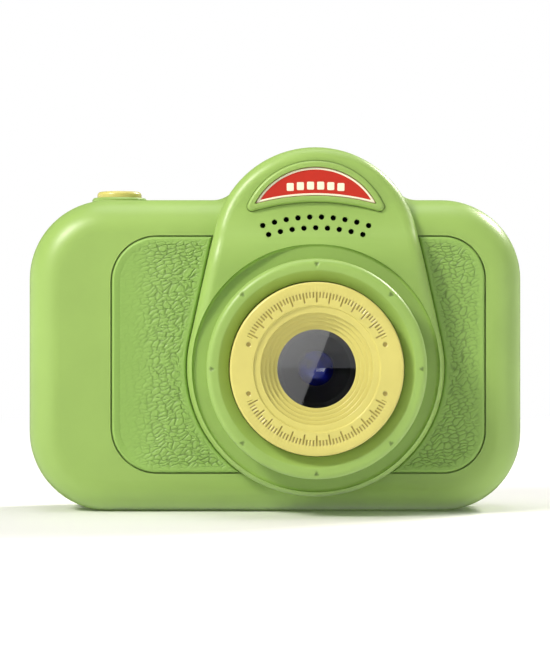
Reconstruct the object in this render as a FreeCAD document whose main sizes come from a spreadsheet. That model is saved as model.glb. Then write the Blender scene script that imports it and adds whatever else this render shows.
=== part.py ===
"""Kids digital camera: a parametric FreeCAD document, one object per piece, written to parts/.

Millimetres. +Z is up, the lens looks along -Y, the display faces +Y, and +X is the right-hand
side seen from the front. The origin is under the middle of the overall box, on the base plane.
"""
import FreeCAD
import Part
import Sketcher
import math
import os
import re

V = FreeCAD.Vector
doc = FreeCAD.newDocument("KidsCamera")

SIZES = [
    # case
    ("case_width", 91.0), ("case_height", 57.6), ("case_depth", 26.0), ("corner_radius", 14.7),
    ("front_rounding", 6.0), ("back_rounding", 7.8), ("wall", 2.0), ("front_depth", 13.6),
    ("dome_radius", 18.75), ("dome_drop", 9.35), ("shoulder_rounding", 5.0),
    # hump round the lens
    ("lens_x", 7.4), ("lens_z", 26.6), ("lens_reach", 17.0), ("hump_radius", 23.4),
    ("hump_rise", 5.8), ("dome_rise", 2.2), ("slope_above_dome", 9.25), ("slope_above_lens", 17.9),
    ("hump_edge", 2.4), ("hump_wall", 2.8), ("dish_radius", 22.5), ("dish_depth", 1.2),
    ("dish_rounding", 0.6),
    # lens group
    ("barrel_radius", 19.6), ("barrel_wall", 2.0), ("barrel_setback", 1.6), ("rim_rounding", 1.0),
    ("rim_step", 0.3), ("rim_slope", 1.7), ("spigot_radius", 18.0), ("spigot_tail", 1.2),
    ("barrel_floor", 1.6), ("ring_radius", 15.4), ("ring_lip", 0.6), ("ring_edge", 0.4),
    ("ring_thickness", 5.2), ("ring_skin", 1.5), ("ring_web", 0.8), ("seat_step", 0.4),
    ("step_radius", 11.2), ("step_depth", 0.4), ("thread_radius", 9.9), ("thread_count", 4.0),
    ("view_radius", 7.0), ("view_depth", 3.2),
    ("glass_radius", 7.9), ("glass_thickness", 0.8), ("cell_radius", 8.7), ("cell_wall", 1.1),
    ("cell_length", 13.0), ("baffle_depth", 2.4), ("baffle_step", 1.6), ("iris_radius", 2.4),
    ("iris_depth", 5.2), ("iris_lip", 0.6), ("element_ledge", 0.3), ("element_room", 1.0),
    ("element_radius", 3.3), ("element_thickness", 1.8), ("element_bulge", 1.0),
    ("sensor_side", 9.0), ("sensor_depth", 3.6), ("sensor_board_side", 13.0),
    # badge and speaker
    ("badge_radius", 12.45), ("badge_above_dome", 2.45), ("badge_arc", 41.0),
    ("badge_arc_above_dome", 9.75), ("badge_border", 1.2), ("badge_proud", 0.9),
    ("badge_sink", 0.5), ("inlay_setback", 0.5), ("badge_rounding", 0.9),
    ("grille_hole", 1.0), ("grille_pitch", 2.14), ("grille_above_dome", 5.85),
    ("grille_row_gap", 2.0), ("grille_arc", 29.0), ("grille_count", 10.0),
    ("speaker_radius", 9.0), ("speaker_depth", 4.0), ("speaker_above_dome", 5.5),
    ("cloth_thickness", 0.3), ("cloth_radius", 8.6), ("frame_depth", 2.0),
    ("magnet_radius", 5.4),
    # grip panels
    ("panel_left_inset", 15.6), ("panel_right_inset", 7.1), ("panel_bottom", 7.4),
    ("panel_top_inset", 7.0), ("panel_left_radius", 8.3), ("panel_right_radius", 7.7),
    ("panel_sink", 1.0), ("panel_proud", 0.3), ("panel_gap", 0.25),
    # display and selfie window
    ("display_width", 53.6), ("display_height", 43.4), ("display_radius", 5.4),
    ("display_right_inset", 14.0), ("display_z", 28.8), ("rim_width", 1.6), ("rim_height", 0.8),
    ("rim_blend", 2.0), ("rim_edge", 0.6),
    ("window_thickness", 1.0), ("window_setback", 0.3), ("ledge", 2.4),
    ("gasket_thickness", 0.5), ("gasket_width", 2.6), ("lcd_margin", 1.0),
    ("lcd_end_margin", 1.5), ("lcd_depth", 2.4),
    ("selfie_radius", 12.0), ("selfie_rim", 3.0), ("selfie_above_dome", 0.45),
    ("selfie_flat_rise", 3.4), ("selfie_lens_x", 6.7), ("selfie_lens_rise", 8.1),
    ("selfie_side", 7.0), ("selfie_depth", 3.4), ("selfie_barrel", 2.8), ("selfie_iris", 1.7),
    ("selfie_setback", 1.2), ("selfie_glass", 0.6), ("selfie_bulge", 0.5), ("selfie_bore", 1.4),
    ("selfie_clearance", 0.2), ("selfie_corner", 0.8),
    # keys on the back: place from the left side and from the base
    ("key_proud", 1.4), ("pad_height", 0.5), ("pad_border", 0.95), ("key_travel", 0.5),
    ("key_edge", 0.5), ("key_flange", 1.0), ("key_flange_border", 0.5), ("key_stem", 0.8),
    ("stem_radius", 1.2), ("key_gap", 0.2), ("stop_gap", 0.1),
    ("power_inset", 15.8), ("power_z", 45.2), ("power_radius", 3.75),
    ("arrow_inset", 13.6), ("up_z", 32.3), ("down_z", 13.3), ("arrow_radius", 3.75),
    ("pair_z", 22.8), ("settings_inset", 17.3), ("gallery_inset", 9.9), ("pair_radius", 3.0),
    ("pair_pad_border", 1.45), ("switch_side", 4.5), ("switch_height", 1.5),
    ("plunger_radius", 1.0), ("plunger_reach", 1.0), ("plunger_depth", 0.15),
    ("plunger_gap", 0.1), ("bore_run_out", 0.3),
    # shutter
    ("shutter_inset", 16.2), ("shutter_radius", 4.15), ("shutter_rise", 1.9),
    ("shutter_travel", 0.8), ("shutter_edge", 0.6), ("collar_border", 0.95),
    ("collar_rise", 0.7), ("collar_edge", 0.3),
    ("collar_spigot", 0.5), ("shutter_reach", 1.3), ("shutter_switch_height", 1.8),
    # boards
    ("board_thickness", 1.0), ("board_side_gap", 1.5), ("board_bottom", 10.0),
    ("board_height", 37.0), ("board_reach", 25.1), ("board_screw_inset", 9.5),
    ("board_screw_low", 2.5), ("board_screw_high", 2.8), ("key_screw_left", 3.6),
    ("key_screw_right", 2.4), ("key_screw_drop", 0.8), ("key_board_left_inset", 6.7),
    ("key_board_width", 16.2), ("key_board_bottom", 9.5), ("key_board_height", 39.4),
    ("shutter_board_side", 8.6), ("shelf_thickness", 1.5), ("ribbon_thickness", 0.2),
    ("ribbon_width", 6.0), ("ribbon_inset", 1.0), ("ribbon_drop", 2.4), ("ribbon_land", 2.5),
    ("ribbon_overlap", 2.0), ("camera_ribbon_drop", 2.2), ("selfie_ribbon_drop", 1.6),
    ("selfie_ribbon_land", 3.0), ("usb_width", 8.94), ("usb_height", 3.26), ("usb_length", 7.4),
    ("usb_skin", 0.3), ("usb_rounding", 1.3), ("usb_back", 1.5), ("usb_tongue", 0.7),
    ("usb_tongue_setback", 0.9), ("usb_tongue_margin", 1.2), ("usb_z", 37.0),
    ("usb_setback", 0.4),
    ("socket_width", 14.0), ("socket_length", 14.6), ("socket_height", 1.5), ("socket_z", 22.5),
    ("socket_back", 1.0), ("card_width", 11.4), ("card_slot", 0.8), ("mouth_gap", 0.25),
    ("mic_side", 3.0),
    ("mic_height", 1.0), ("mic_inset", 20.9), ("mic_z", 37.5), ("mic_hole", 0.35),
    # battery
    ("battery_left_inset", 5.5), ("battery_width", 26.0), ("battery_bottom", 11.0),
    ("battery_height", 34.0), ("battery_depth", 6.2), ("battery_rounding", 1.5),
    ("pad_thickness", 0.4), ("pad_inset", 2.0), ("lead_radius", 0.4), ("lead_pitch", 1.2),
    ("lead_bend", 1.8), ("lead_offset", 1.0), ("lead_arch", 2.4), ("lead_side", 3.0),
    ("speaker_lead_x", 3.0), ("speaker_lead_z", 2.2),
    # screws and posts
    ("screw_top_inset", 4.9), ("screw_bottom", 5.8), ("screw_right_inset", 12.25),
    ("screw_top_left_inset", 24.2), ("screw_bottom_left_inset", 14.0), ("post_radius", 3.3),
    ("screw_radius", 1.0), ("screw_head", 1.7), ("screw_head_height", 1.4), ("screw_length", 10.0),
    ("screw_recess", 7.8), ("recess_radius", 1.8), ("thread_gap", 0.05), ("thread_run_out", 0.4),
    ("board_post", 1.9), ("board_screw_length", 3.0), ("board_screw_head", 1.5),
    ("board_screw_head_height", 1.0), ("board_screw_radius", 0.8),
    # strap slot
    ("slot_z", 41.4), ("slot_height", 9.8), ("slot_width", 4.8), ("slot_depth", 5.0),
    ("slot_back_inset", 5.8), ("slot_wall", 1.2), ("strap_bar_radius", 0.75),
    ("strap_bar_inset", 1.9), ("strap_bar_seat", 1.1),
    # general fit
    ("seat_gap", 0.1),
]

sheet = doc.addObject("Spreadsheet::Sheet", "Sizes")
for row, (alias, size) in enumerate(SIZES, start=1):
    sheet.set(f"A{row}", alias)
    sheet.set(f"B{row}", str(size))
    sheet.setAlias(f"B{row}", alias)
doc.recompute()

ALIASES = re.compile(r"\b(" + "|".join(alias for alias, size in SIZES) + r")\b")


def bound(expression):
    """The expression with every size read from the sheet."""
    return ALIASES.sub(r"Sizes.\1", expression)


def number(expression):
    """The expression's present value, for shapes that code makes."""
    return float(sheet.evalExpression(bound(expression)))


# Planes and places that many pieces share.
BACK = "((lens_reach + case_depth + key_proud) / 2 - key_proud)"
FRONT = f"({BACK} - case_depth)"
TIP = f"({FRONT} - lens_reach)"
SPLIT = f"({FRONT} + front_depth)"
INSIDE_FRONT = f"({FRONT} + wall)"
INSIDE_BACK = f"({BACK} - wall)"
LEFT = "(-case_width / 2)"
RIGHT = "(case_width / 2)"
DOME_Z = "(case_height - dome_drop)"
HUMP_FACE = f"({FRONT} - hump_rise)"
DOME_FACE = f"({FRONT} - dome_rise)"
DISH_FLOOR = f"({HUMP_FACE} + dish_depth)"
DISPLAY_X = f"({RIGHT} - display_right_inset - display_width / 2)"
WINDOW_BACK = f"({BACK} + rim_height - window_setback)"
WINDOW_SEAT = f"({WINDOW_BACK} - window_thickness)"
SELFIE_Z = f"({DOME_Z} + selfie_above_dome)"
SELFIE_LENS_Z = f"({SELFIE_Z} + selfie_lens_rise)"
KEY_STOP = f"({INSIDE_BACK} - stop_gap)"
PLUNGER_TOP = f"({KEY_STOP} - key_flange - key_stem)"
SWITCH_TOP = f"({PLUNGER_TOP} - plunger_reach)"
BOARD_BACK = f"({SWITCH_TOP} - switch_height)"
BOARD_FRONT = f"({BOARD_BACK} - board_thickness)"
SHUTTER_X = f"({LEFT} + shutter_inset)"
SHUTTER_Y = f"(({FRONT} + {BACK}) / 2)"
SHUTTER_STOP = "(case_height - wall - stop_gap)"
SHUTTER_PLUNGER_TOP = f"({SHUTTER_STOP} - key_flange - key_stem)"
SHUTTER_SWITCH_TOP = f"({SHUTTER_PLUNGER_TOP} - shutter_reach)"
SHUTTER_BOARD_TOP = f"({SHUTTER_SWITCH_TOP} - shutter_switch_height)"
SHELF_TOP = f"({SHUTTER_BOARD_TOP} - board_thickness)"
GLASS_FRONT = f"({TIP} + view_depth + ring_lip)"
GLASS_BACK = f"({GLASS_FRONT} + glass_thickness)"
CELL_BACK = f"({GLASS_BACK} + cell_length)"
SLOT_Y = f"({BACK} - slot_back_inset)"
STRAP_BAR_X = f"({LEFT} + strap_bar_inset)"
SCREW_SEAT = f"({BACK} - screw_recess - screw_head_height)"
SCREW_TIP = f"({SCREW_SEAT} - screw_length)"

KEYS = {
    "power": (f"({LEFT} + power_inset)", "power_z", "power_radius"),
    "up": (f"({LEFT} + arrow_inset)", "up_z", "arrow_radius"),
    "settings": (f"({LEFT} + settings_inset)", "pair_z", "pair_radius"),
    "gallery": (f"({LEFT} + gallery_inset)", "pair_z", "pair_radius"),
    "down": (f"({LEFT} + arrow_inset)", "down_z", "arrow_radius"),
}
CASE_SCREWS = [
    (f"({RIGHT} - screw_right_inset)", "(case_height - screw_top_inset)"),
    (f"({LEFT} + screw_top_left_inset)", "(case_height - screw_top_inset)"),
    (f"({RIGHT} - screw_right_inset)", "screw_bottom"),
    (f"({LEFT} + screw_bottom_left_inset)", "screw_bottom"),
]
BOARD_SCREWS = [
    (f"({RIGHT} - board_screw_inset)", "(board_bottom + board_screw_low)"),
    (f"({RIGHT} - board_screw_inset)", "(board_bottom + board_height - board_screw_high)"),
    (f"({LEFT} + key_board_left_inset + key_screw_left)", "((power_z + up_z) / 2)"),
    (f"({LEFT} + key_board_left_inset + key_board_width - key_screw_right)",
     "(down_z - key_screw_drop)"),
]
# Parts on the main board: place from the lens and the board's bottom, then width, height, depth.
CHIPS = {
    "Processor": (10.6, 26.0, 12.0, 12.0, 1.2),
    "Memory": (-7.4, 27.0, 8.0, 6.0, 1.0),
    "Regulator": (-11.9, 6.5, 5.0, 5.0, 1.1),
    "BatterySocket": (-24.4, 32.0, 4.0, 4.0, 2.0),
}
DOME_SHARES = (0.0, 0.4, 0.75, 1.0)
BEYOND = 1.0  # how far a cutting tool runs past the face it opens
BITE = 0.2  # how far a rib or post runs into the wall it grows from
SKIN = 0.3  # what stays of the outer wall over a post that meets it
PILL_END = 0.98  # share of the half height that rounds the pill-shaped pad's ends
PAD_ROUNDING = 0.7  # share of the pad height that its top edge rounds
SLOT_END = 0.42  # share of the slot width that rounds its ends
EDGE_SHARE = 0.3  # where a two-step edge breaks, as a share of its size

NODES = []


def keep(piece, label):
    """Names the finished piece: its label is its file's name."""
    piece.Label = label
    NODES.append(piece)
    return piece


# ---------------------------------------------------------------- document helpers
def put(piece, x="0", y="0", z="0", turn=None):
    """Binds the piece's place to the sheet, after an optional turn about one axis."""
    if turn:
        piece.Placement = FreeCAD.Placement(V(), FreeCAD.Rotation(*turn))
    for axis, expression in zip("xyz", (x, y, z)):
        piece.setExpression(f"Placement.Base.{axis}", bound(expression))
    return piece


def block(name, xs, ys, zs):
    """Part::Box between pairs of low and high places."""
    piece = doc.addObject("Part::Box", name)
    for side, (low, high) in zip(("Length", "Width", "Height"), (xs, ys, zs)):
        piece.setExpression(side, bound(f"({high}) - ({low})"))
    return put(piece, xs[0], ys[0], zs[0])


def around(centre, size):
    """Low and high places of a size about its centre."""
    return (f"({centre}) - ({size}) / 2", f"({centre}) + ({size}) / 2")


def rod_y(name, x, z, ys, radius):
    """Part::Cylinder along Y."""
    piece = doc.addObject("Part::Cylinder", name)
    piece.setExpression("Radius", bound(radius))
    piece.setExpression("Height", bound(f"({ys[1]}) - ({ys[0]})"))
    return put(piece, x, ys[0], z, (V(1, 0, 0), -90))


def rod_z(name, x, y, zs, radius):
    """Part::Cylinder along Z."""
    piece = doc.addObject("Part::Cylinder", name)
    piece.setExpression("Radius", bound(radius))
    piece.setExpression("Height", bound(f"({zs[1]}) - ({zs[0]})"))
    return put(piece, x, y, zs[0])


def joined(name, pieces):
    """Part::MultiFuse of touching pieces."""
    result = doc.addObject("Part::MultiFuse", name)
    result.Shapes = pieces
    return result


def without(name, base, tool):
    """Part::Cut of one tool from its base."""
    result = doc.addObject("Part::Cut", name)
    result.Base = base
    result.Tool = tool
    return result


def group(name, pieces):
    """Part::Compound of separate solids that share a node."""
    result = doc.addObject("Part::Compound", name)
    result.Links = pieces
    return result


def outline(sketch, corners):
    """Closed outline of straight lines; every corner is held by its two coordinates."""
    count = len(corners)
    points = [V(number(a), number(b), 0) for a, b in corners]
    for i in range(count):
        sketch.addGeometry(Part.LineSegment(points[i], points[(i + 1) % count]), False)
    for i in range(count):
        sketch.addConstraint(Sketcher.Constraint("Coincident", i, 2, (i + 1) % count, 1))
    for i, corner in enumerate(corners):
        for kind, size in zip(("DistanceX", "DistanceY"), corner):
            place = sketch.addConstraint(Sketcher.Constraint(kind, -1, 1, i, 1, number(size)))
            sketch.setExpression(f"Constraints[{place}]", bound(size))


def sketch_on(body, plane, corners):
    """Sketch with that outline on one of the body's own origin planes."""
    sketch = body.newObject("Sketcher::SketchObject", body.Name + "Sketch")
    face = [f for f in body.Origin.OriginFeatures if f.Role == plane][0]
    sketch.AttachmentSupport = (face, [""])
    sketch.MapMode = "FlatFace"
    outline(sketch, corners)
    return sketch


def turned(name, profile, x, y, z, plane="XY_Plane"):
    """PartDesign body: a profile of (radius, place along the axis) turned a full circle."""
    body = doc.addObject("PartDesign::Body", name)
    sketch = sketch_on(body, plane, profile)
    revolution = body.newObject("PartDesign::Revolution", name + "Turn")
    revolution.Profile = sketch
    revolution.ReferenceAxis = (sketch, ["V_Axis"])
    revolution.Angle = 360
    return put(body, x, y, z)


def rounded_plate(name, xs, zs, ys, radius):
    """PartDesign body: a rectangle in XZ padded towards -Y from ys[1], its corners rounded."""
    body = doc.addObject("PartDesign::Body", name)
    corners = [(xs[0], zs[0]), (xs[1], zs[0]), (xs[1], zs[1]), (xs[0], zs[1])]
    sketch = sketch_on(body, "XZ_Plane", corners)
    pad = body.newObject("PartDesign::Pad", name + "Pad")
    pad.Profile = sketch
    pad.setExpression("Length", bound(f"({ys[1]}) - ({ys[0]})"))
    doc.recompute()
    along = [f"Edge{i + 1}" for i, e in enumerate(pad.Shape.Edges) if is_along(e, V(0, 1, 0))]
    fillet = body.newObject("PartDesign::Fillet", name + "Corners")
    fillet.Base = (pad, along)
    fillet.setExpression("Radius", bound(radius))
    body.Tip = fillet
    doc.recompute()
    return put(body, "0", ys[1], "0")


def is_along(edge, direction):
    """True for a straight edge parallel to the direction."""
    if edge.Curve.TypeId != "Part::GeomLine":
        return False
    return abs(abs(edge.Curve.Direction.dot(direction)) - 1) < 1e-6


def edges_rounded(name, base, direction, radius):
    """Part::Fillet of every edge of the base along one direction."""
    doc.recompute()
    result = doc.addObject("Part::Fillet", name)
    result.Base = base
    size = number(radius)
    result.Edges = [(i + 1, size, size) for i, e in enumerate(base.Shape.Edges)
                    if is_along(e, direction)]
    return result


def shaped(name, shape):
    """Part::Feature for a shape that only code can give."""
    piece = doc.addObject("Part::Feature", name)
    piece.Shape = shape
    piece.Placement = FreeCAD.Placement()
    return piece


# ---------------------------------------------------------------- outlines in the XZ plane
def at(x, z, y):
    return V(x, y, z)


def prism(edges, y_low, y_high):
    """Solid between two Y planes from edges drawn at y_low."""
    face = Part.Face(Part.Wire(Part.__sortEdges__(edges)))
    return face.extrude(V(0, y_high - y_low, 0))


def rounded_rectangle(x_low, x_high, z_low, z_high, left_radius, right_radius, y):
    """Edges of a rectangle with its own corner radius on each side."""
    corners = [
        (x_low, z_low, left_radius, 180), (x_high, z_low, right_radius, 270),
        (x_high, z_high, right_radius, 0), (x_low, z_high, left_radius, 90),
    ]
    arcs = []
    for x, z, radius, start in corners:
        cx = x + radius if x == x_low else x - radius
        cz = z + radius if z == z_low else z - radius
        arcs.append(arc(cx, cz, radius, start, start + 90, y))
    lines = []
    for i, edge in enumerate(arcs):
        after = arcs[(i + 1) % 4]
        lines.append(Part.LineSegment(edge.lastVertex().Point, after.firstVertex().Point).toShape())
    return arcs + lines


def arc(cx, cz, radius, start, end, y):
    """Arc about (cx, cz) in the plane y, between two angles in degrees."""
    angles = [math.radians(a) for a in (start, (start + end) / 2, end)]
    points = [at(cx + radius * math.cos(a), cz + radius * math.sin(a), y) for a in angles]
    return Part.Arc(*points).toShape()


def bell(inset, y_low, y_high):
    """Dome circle and hump circle joined by their common tangents, brought in by inset."""
    big = number("hump_radius") - inset
    small = number("dome_radius") - inset
    x = number("lens_x")
    low = number("lens_z")
    high = number(DOME_Z)
    tilt = math.degrees(math.asin((big - small) / (high - low)))
    around_lens = arc(x, low, big, 180 - tilt, 360 + tilt, y_low)
    over_dome = arc(x, high, small, tilt, 180 - tilt, y_low)
    right = Part.LineSegment(around_lens.lastVertex().Point, over_dome.firstVertex().Point)
    left = Part.LineSegment(over_dome.lastVertex().Point, around_lens.firstVertex().Point)
    return prism([around_lens, right.toShape(), over_dome, left.toShape()], y_low, y_high)


def in_plane(edge, y):
    box = edge.BoundBox
    return abs(box.YMin - y) < 1e-6 and abs(box.YMax - y) < 1e-6


def case_block(inset):
    """The case's outer form brought in by inset, without the hump."""
    y_low = number(FRONT) + inset
    y_high = number(BACK) - inset
    half = number("case_width") / 2 - inset
    top = number("case_height") - inset
    radius = number("corner_radius") - inset
    edges = rounded_rectangle(-half, half, inset, top, radius, radius, y_low)
    solid = prism(edges, y_low, y_high).fuse(bell(inset, y_low, y_high)).removeSplitter()
    shoulders = []
    for edge in solid.Edges:
        middle = edge.BoundBox.Center
        near_dome = abs(middle.x - number("lens_x")) < number("dome_radius")
        if is_along(edge, V(0, 1, 0)) and abs(middle.z - top) < 1e-4 and near_dome:
            shoulders.append(edge)
    solid = solid.makeFillet(number("shoulder_rounding") + inset, shoulders)
    front = [e for e in solid.Edges if in_plane(e, y_low)]
    solid = solid.makeFillet(number("front_rounding") - inset, front)
    back = [e for e in solid.Edges if in_plane(e, y_high)]
    return solid.makeFillet(number("back_rounding") - inset, back)


def hump_block(inset, depth, edge_radius):
    """Hump in front of the case: the bell cut by a side profile that slopes out to the lens."""
    y_dome = number(DOME_FACE) + depth
    y_lens = number(HUMP_FACE) + depth
    z_top = number(f"{DOME_Z} + slope_above_dome")
    z_bottom = number("lens_z + slope_above_lens")
    y_end = number(SPLIT)
    rise = z_top - z_bottom
    run = y_dome - y_lens
    radius = (rise ** 2 + run ** 2) / (4 * run)
    half_turn = math.asin(rise / (2 * radius)) / 2
    x_low = number("lens_x - hump_radius") - BEYOND
    width = 2 * (number("hump_radius") + BEYOND)
    over = number("case_height") * 2

    def point(y, z):
        return V(x_low, y, z)

    upper_mid = point(y_dome - radius * (1 - math.cos(half_turn)),
                      z_top - radius * math.sin(half_turn))
    lower_mid = point(y_lens + radius * (1 - math.cos(half_turn)),
                      z_bottom + radius * math.sin(half_turn))
    middle = point((y_dome + y_lens) / 2, (z_top + z_bottom) / 2)
    edges = [
        Part.LineSegment(point(y_dome, over), point(y_dome, z_top)).toShape(),
        Part.Arc(point(y_dome, z_top), upper_mid, middle).toShape(),
        Part.Arc(middle, lower_mid, point(y_lens, z_bottom)).toShape(),
        Part.LineSegment(point(y_lens, z_bottom), point(y_lens, -over)).toShape(),
        Part.LineSegment(point(y_lens, -over), point(y_end, -over)).toShape(),
        Part.LineSegment(point(y_end, -over), point(y_end, over)).toShape(),
        Part.LineSegment(point(y_end, over), point(y_dome, over)).toShape(),
    ]
    profile = Part.Face(Part.Wire(edges)).extrude(V(width, 0, 0))
    solid = bell(inset, y_lens - BEYOND, y_end).common(profile)
    if edge_radius <= 0:
        return solid
    rim = []
    for edge in solid.Edges:
        if in_plane(edge, y_end) or is_along(edge, V(0, 1, 0)) or is_along(edge, V(1, 0, 0)):
            continue
        rim.append(edge)
    return solid.makeFillet(edge_radius, rim)


def crescent(grow, y_low, y_high):
    """Badge outline: under the badge circle and over a wide arc, grown by a border."""
    x = number("lens_x")
    upper_z = number(f"{DOME_Z} + badge_above_dome")
    lower_radius = number("badge_arc") - grow
    lower_z = number(f"{DOME_Z} + badge_arc_above_dome") - number("badge_arc")
    disc = Part.makeCylinder(number("badge_radius") + grow, y_high - y_low,
                             V(x, y_low, upper_z), V(0, 1, 0))
    under = Part.makeCylinder(lower_radius, y_high - y_low, V(x, y_low, lower_z), V(0, 1, 0))
    return disc.cut(under)


def segment(grow, y_low, y_high):
    """Selfie window outline: a circle cut off by a level line, grown by a border."""
    x = number("lens_x")
    z = number(SELFIE_Z)
    radius = number("selfie_radius") + grow
    flat = z + number("selfie_flat_rise") - grow
    disc = Part.makeCylinder(radius, y_high - y_low, V(x, y_low, z), V(0, 1, 0))
    below = Part.makeBox(2 * radius, y_high - y_low, 2 * radius,
                         V(x - radius, y_low, flat - 2 * radius))
    return disc.cut(below)


def corners_rounded(solid, radius):
    """Rounds every edge that runs along Y."""
    edges = [e for e in solid.Edges if is_along(e, V(0, 1, 0)) and not e.isSeam(solid.Faces[0])]
    sharp = [e for e in edges if len(solid.ancestorsOfType(e, Part.Face)) == 2]
    return solid.makeFillet(radius, sharp)


# ---------------------------------------------------------------- shells
def cylinder_y(x, z, y_low, y_high, radius):
    return Part.makeCylinder(radius, y_high - y_low, V(x, y_low, z), V(0, 1, 0))


def cylinder_z(x, y, z_low, z_high, radius):
    return Part.makeCylinder(radius, z_high - z_low, V(x, y, z_low), V(0, 0, 1))


def cuboid(xs, ys, zs):
    return Part.makeBox(xs[1] - xs[0], ys[1] - ys[0], zs[1] - zs[0], V(xs[0], ys[0], zs[0]))


def numbers(expressions):
    return [number(e) for e in expressions]


def panel_plate(grow, y_low, y_high):
    """Plate behind both grip panels, grown by the gap for its recess."""
    edges = rounded_rectangle(
        number(f"{LEFT} + panel_left_inset") - grow, number(f"{RIGHT} - panel_right_inset") + grow,
        number("panel_bottom") - grow, number("case_height - panel_top_inset") + grow,
        number("panel_left_radius") + grow, number("panel_right_radius") + grow, y_low)
    return prism(edges, y_low, y_high)


def grille():
    """Two curved rows of sound holes."""
    holes = []
    y_low = number(HUMP_FACE) - BEYOND
    y_high = number(f"{DOME_FACE} + hump_wall") + BEYOND
    count = int(number("grille_count"))
    for row in range(2):
        row_count = count - row
        top = number(f"{DOME_Z} + grille_above_dome") - row * number("grille_row_gap")
        for i in range(row_count):
            offset = (i - (row_count - 1) / 2) * number("grille_pitch")
            drop = offset ** 2 / (2 * number("grille_arc"))
            holes.append(cylinder_y(number("lens_x") + offset, top - drop, y_low, y_high,
                                    number("grille_hole") / 2))
    return holes


def shutter_hole():
    """Hole through the top that both shells share."""
    top = number("case_height")
    return cylinder_z(number(SHUTTER_X), number(SHUTTER_Y), top - 2 * number("wall"), top + BEYOND,
                      number("shutter_radius + collar_spigot + key_gap + seat_gap"))


def hollow_case():
    """Closed case wall: outer form less the cavity."""
    outer = case_block(0).fuse(hump_block(0, 0, number("hump_edge"))).removeSplitter()
    cavity = case_block(number("wall")).fuse(hump_block(number("wall"), number("hump_wall"), 0))
    return outer.cut(cavity)


def front_shell(case):
    """Front half, with posts, shelf, panel recesses, badge pocket, lens seat and sound holes."""
    split = number(SPLIT)
    far = number("case_width")
    shell = case.common(cuboid((-far, far), (-far, split), (-far, far)))
    inside = number(INSIDE_FRONT)
    inner = case_block(SKIN)
    for x, z in CASE_SCREWS:
        post = cylinder_y(number(x), number(z), inside - BITE, split, number("post_radius"))
        shell = shell.fuse(post.common(inner))
    shelf_x = numbers(around(SHUTTER_X, "shutter_board_side"))
    shelf_top = number(SHELF_TOP)
    shelf_end = number(f"{SHUTTER_Y} + shutter_board_side / 2")
    shelf = cuboid(shelf_x, (inside - BITE, min(shelf_end, split)),
                   (shelf_top - number("shelf_thickness"), shelf_top))
    shell = shell.fuse(shelf)
    floor = number(f"{FRONT} + panel_sink")
    recess = panel_plate(number("panel_gap"), number(FRONT) - BEYOND, floor)
    recess = recess.cut(bell(0, number(FRONT) - 2 * BEYOND, floor + BEYOND))
    x = number("lens_x")
    z = number("lens_z")
    dish_low = number(HUMP_FACE) - BEYOND
    dish = cylinder_y(x, z, dish_low, number(DISH_FLOOR), number("dish_radius"))
    dish = dish.makeFillet(number("dish_rounding"),
                           [e for e in dish.Edges if in_plane(e, number(DISH_FLOOR))])
    mouth = cylinder_y(x, z, dish_low, number(f"{HUMP_FACE} + hump_wall") + BEYOND,
                       number("spigot_radius + seat_gap"))
    pocket = corners_rounded(crescent(number("badge_border + seat_gap"), number(HUMP_FACE) - BEYOND,
                                      number(f"{DOME_FACE} + badge_sink")),
                             number("badge_rounding + seat_gap"))
    cuts = [recess, dish, mouth, pocket, shutter_hole()] + grille()
    bottom = number(f"{SCREW_TIP} - thread_run_out")
    for sx, sz in CASE_SCREWS:
        cuts.append(cylinder_y(number(sx), number(sz), bottom, split + BEYOND,
                               number("screw_radius + thread_gap")))
    return shell.cut(cuts).removeSplitter()


def raised_rims():
    """Flat-topped rims round the display and the selfie window, blended where they meet."""
    y_low = number(INSIDE_BACK)
    y_high = number(f"{BACK} + rim_height")
    grow = number("rim_width")
    xs = numbers(around(DISPLAY_X, "display_width"))
    zs = numbers(around("display_z", "display_height"))
    radius = number("display_radius") + grow
    frame = prism(rounded_rectangle(xs[0] - grow, xs[1] + grow, zs[0] - grow, zs[1] + grow,
                                    radius, radius, y_low), y_low, y_high)
    eye = cylinder_y(number("lens_x"), number(SELFIE_Z), y_low, y_high,
                     number("selfie_radius + selfie_rim"))
    rims = frame.fuse(eye).removeSplitter()
    junctions = []
    for edge in rims.Edges:
        middle = edge.BoundBox.Center
        if is_along(edge, V(0, 1, 0)) and abs(middle.z - zs[1] - grow) < 1e-4:
            inboard = min(middle.x - xs[0], xs[1] - middle.x)
            if inboard > number("display_radius"):
                junctions.append(edge)
    rims = rims.makeFillet(number("rim_blend"), junctions)
    return rims.makeFillet(number("rim_edge"), [e for e in rims.Edges if in_plane(e, y_high)])


def key_pads():
    """Low pads under the keys; the two small keys share a pill-shaped one."""
    y_low = number(INSIDE_BACK)
    y_high = number(f"{BACK} + pad_height")
    pads = []
    for name in ("power", "up", "down"):
        x, z, radius = numbers(KEYS[name])
        pads.append(cylinder_y(x, z, y_low, y_high, radius + number("pad_border")))
    right = number(KEYS["settings"][0])
    left = number(KEYS["gallery"][0])
    z = number("pair_z")
    radius = number("pair_radius + pair_pad_border")
    pads.append(prism(rounded_rectangle(left - radius, right + radius, z - radius, z + radius,
                                        radius * PILL_END, radius * PILL_END, y_low),
                      y_low, y_high))
    rounded = []
    for pad in pads:
        top = [e for e in pad.Edges if in_plane(e, y_high)]
        rounded.append(pad.makeFillet(number("pad_height") * PAD_ROUNDING, top))
    return rounded


def strap_well():
    """Closed box inside the side wall that holds the strap slot."""
    wall = number("slot_wall")
    zs = numbers(around("slot_z", "slot_height"))
    ys = numbers(around(SLOT_Y, "slot_width"))
    left = number(LEFT)
    box = cuboid((left, left + number("slot_depth") + wall), (ys[0] - wall, ys[1] + wall),
                 (zs[0] - wall, zs[1] + wall))
    return box.common(case_block(SKIN))


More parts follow.
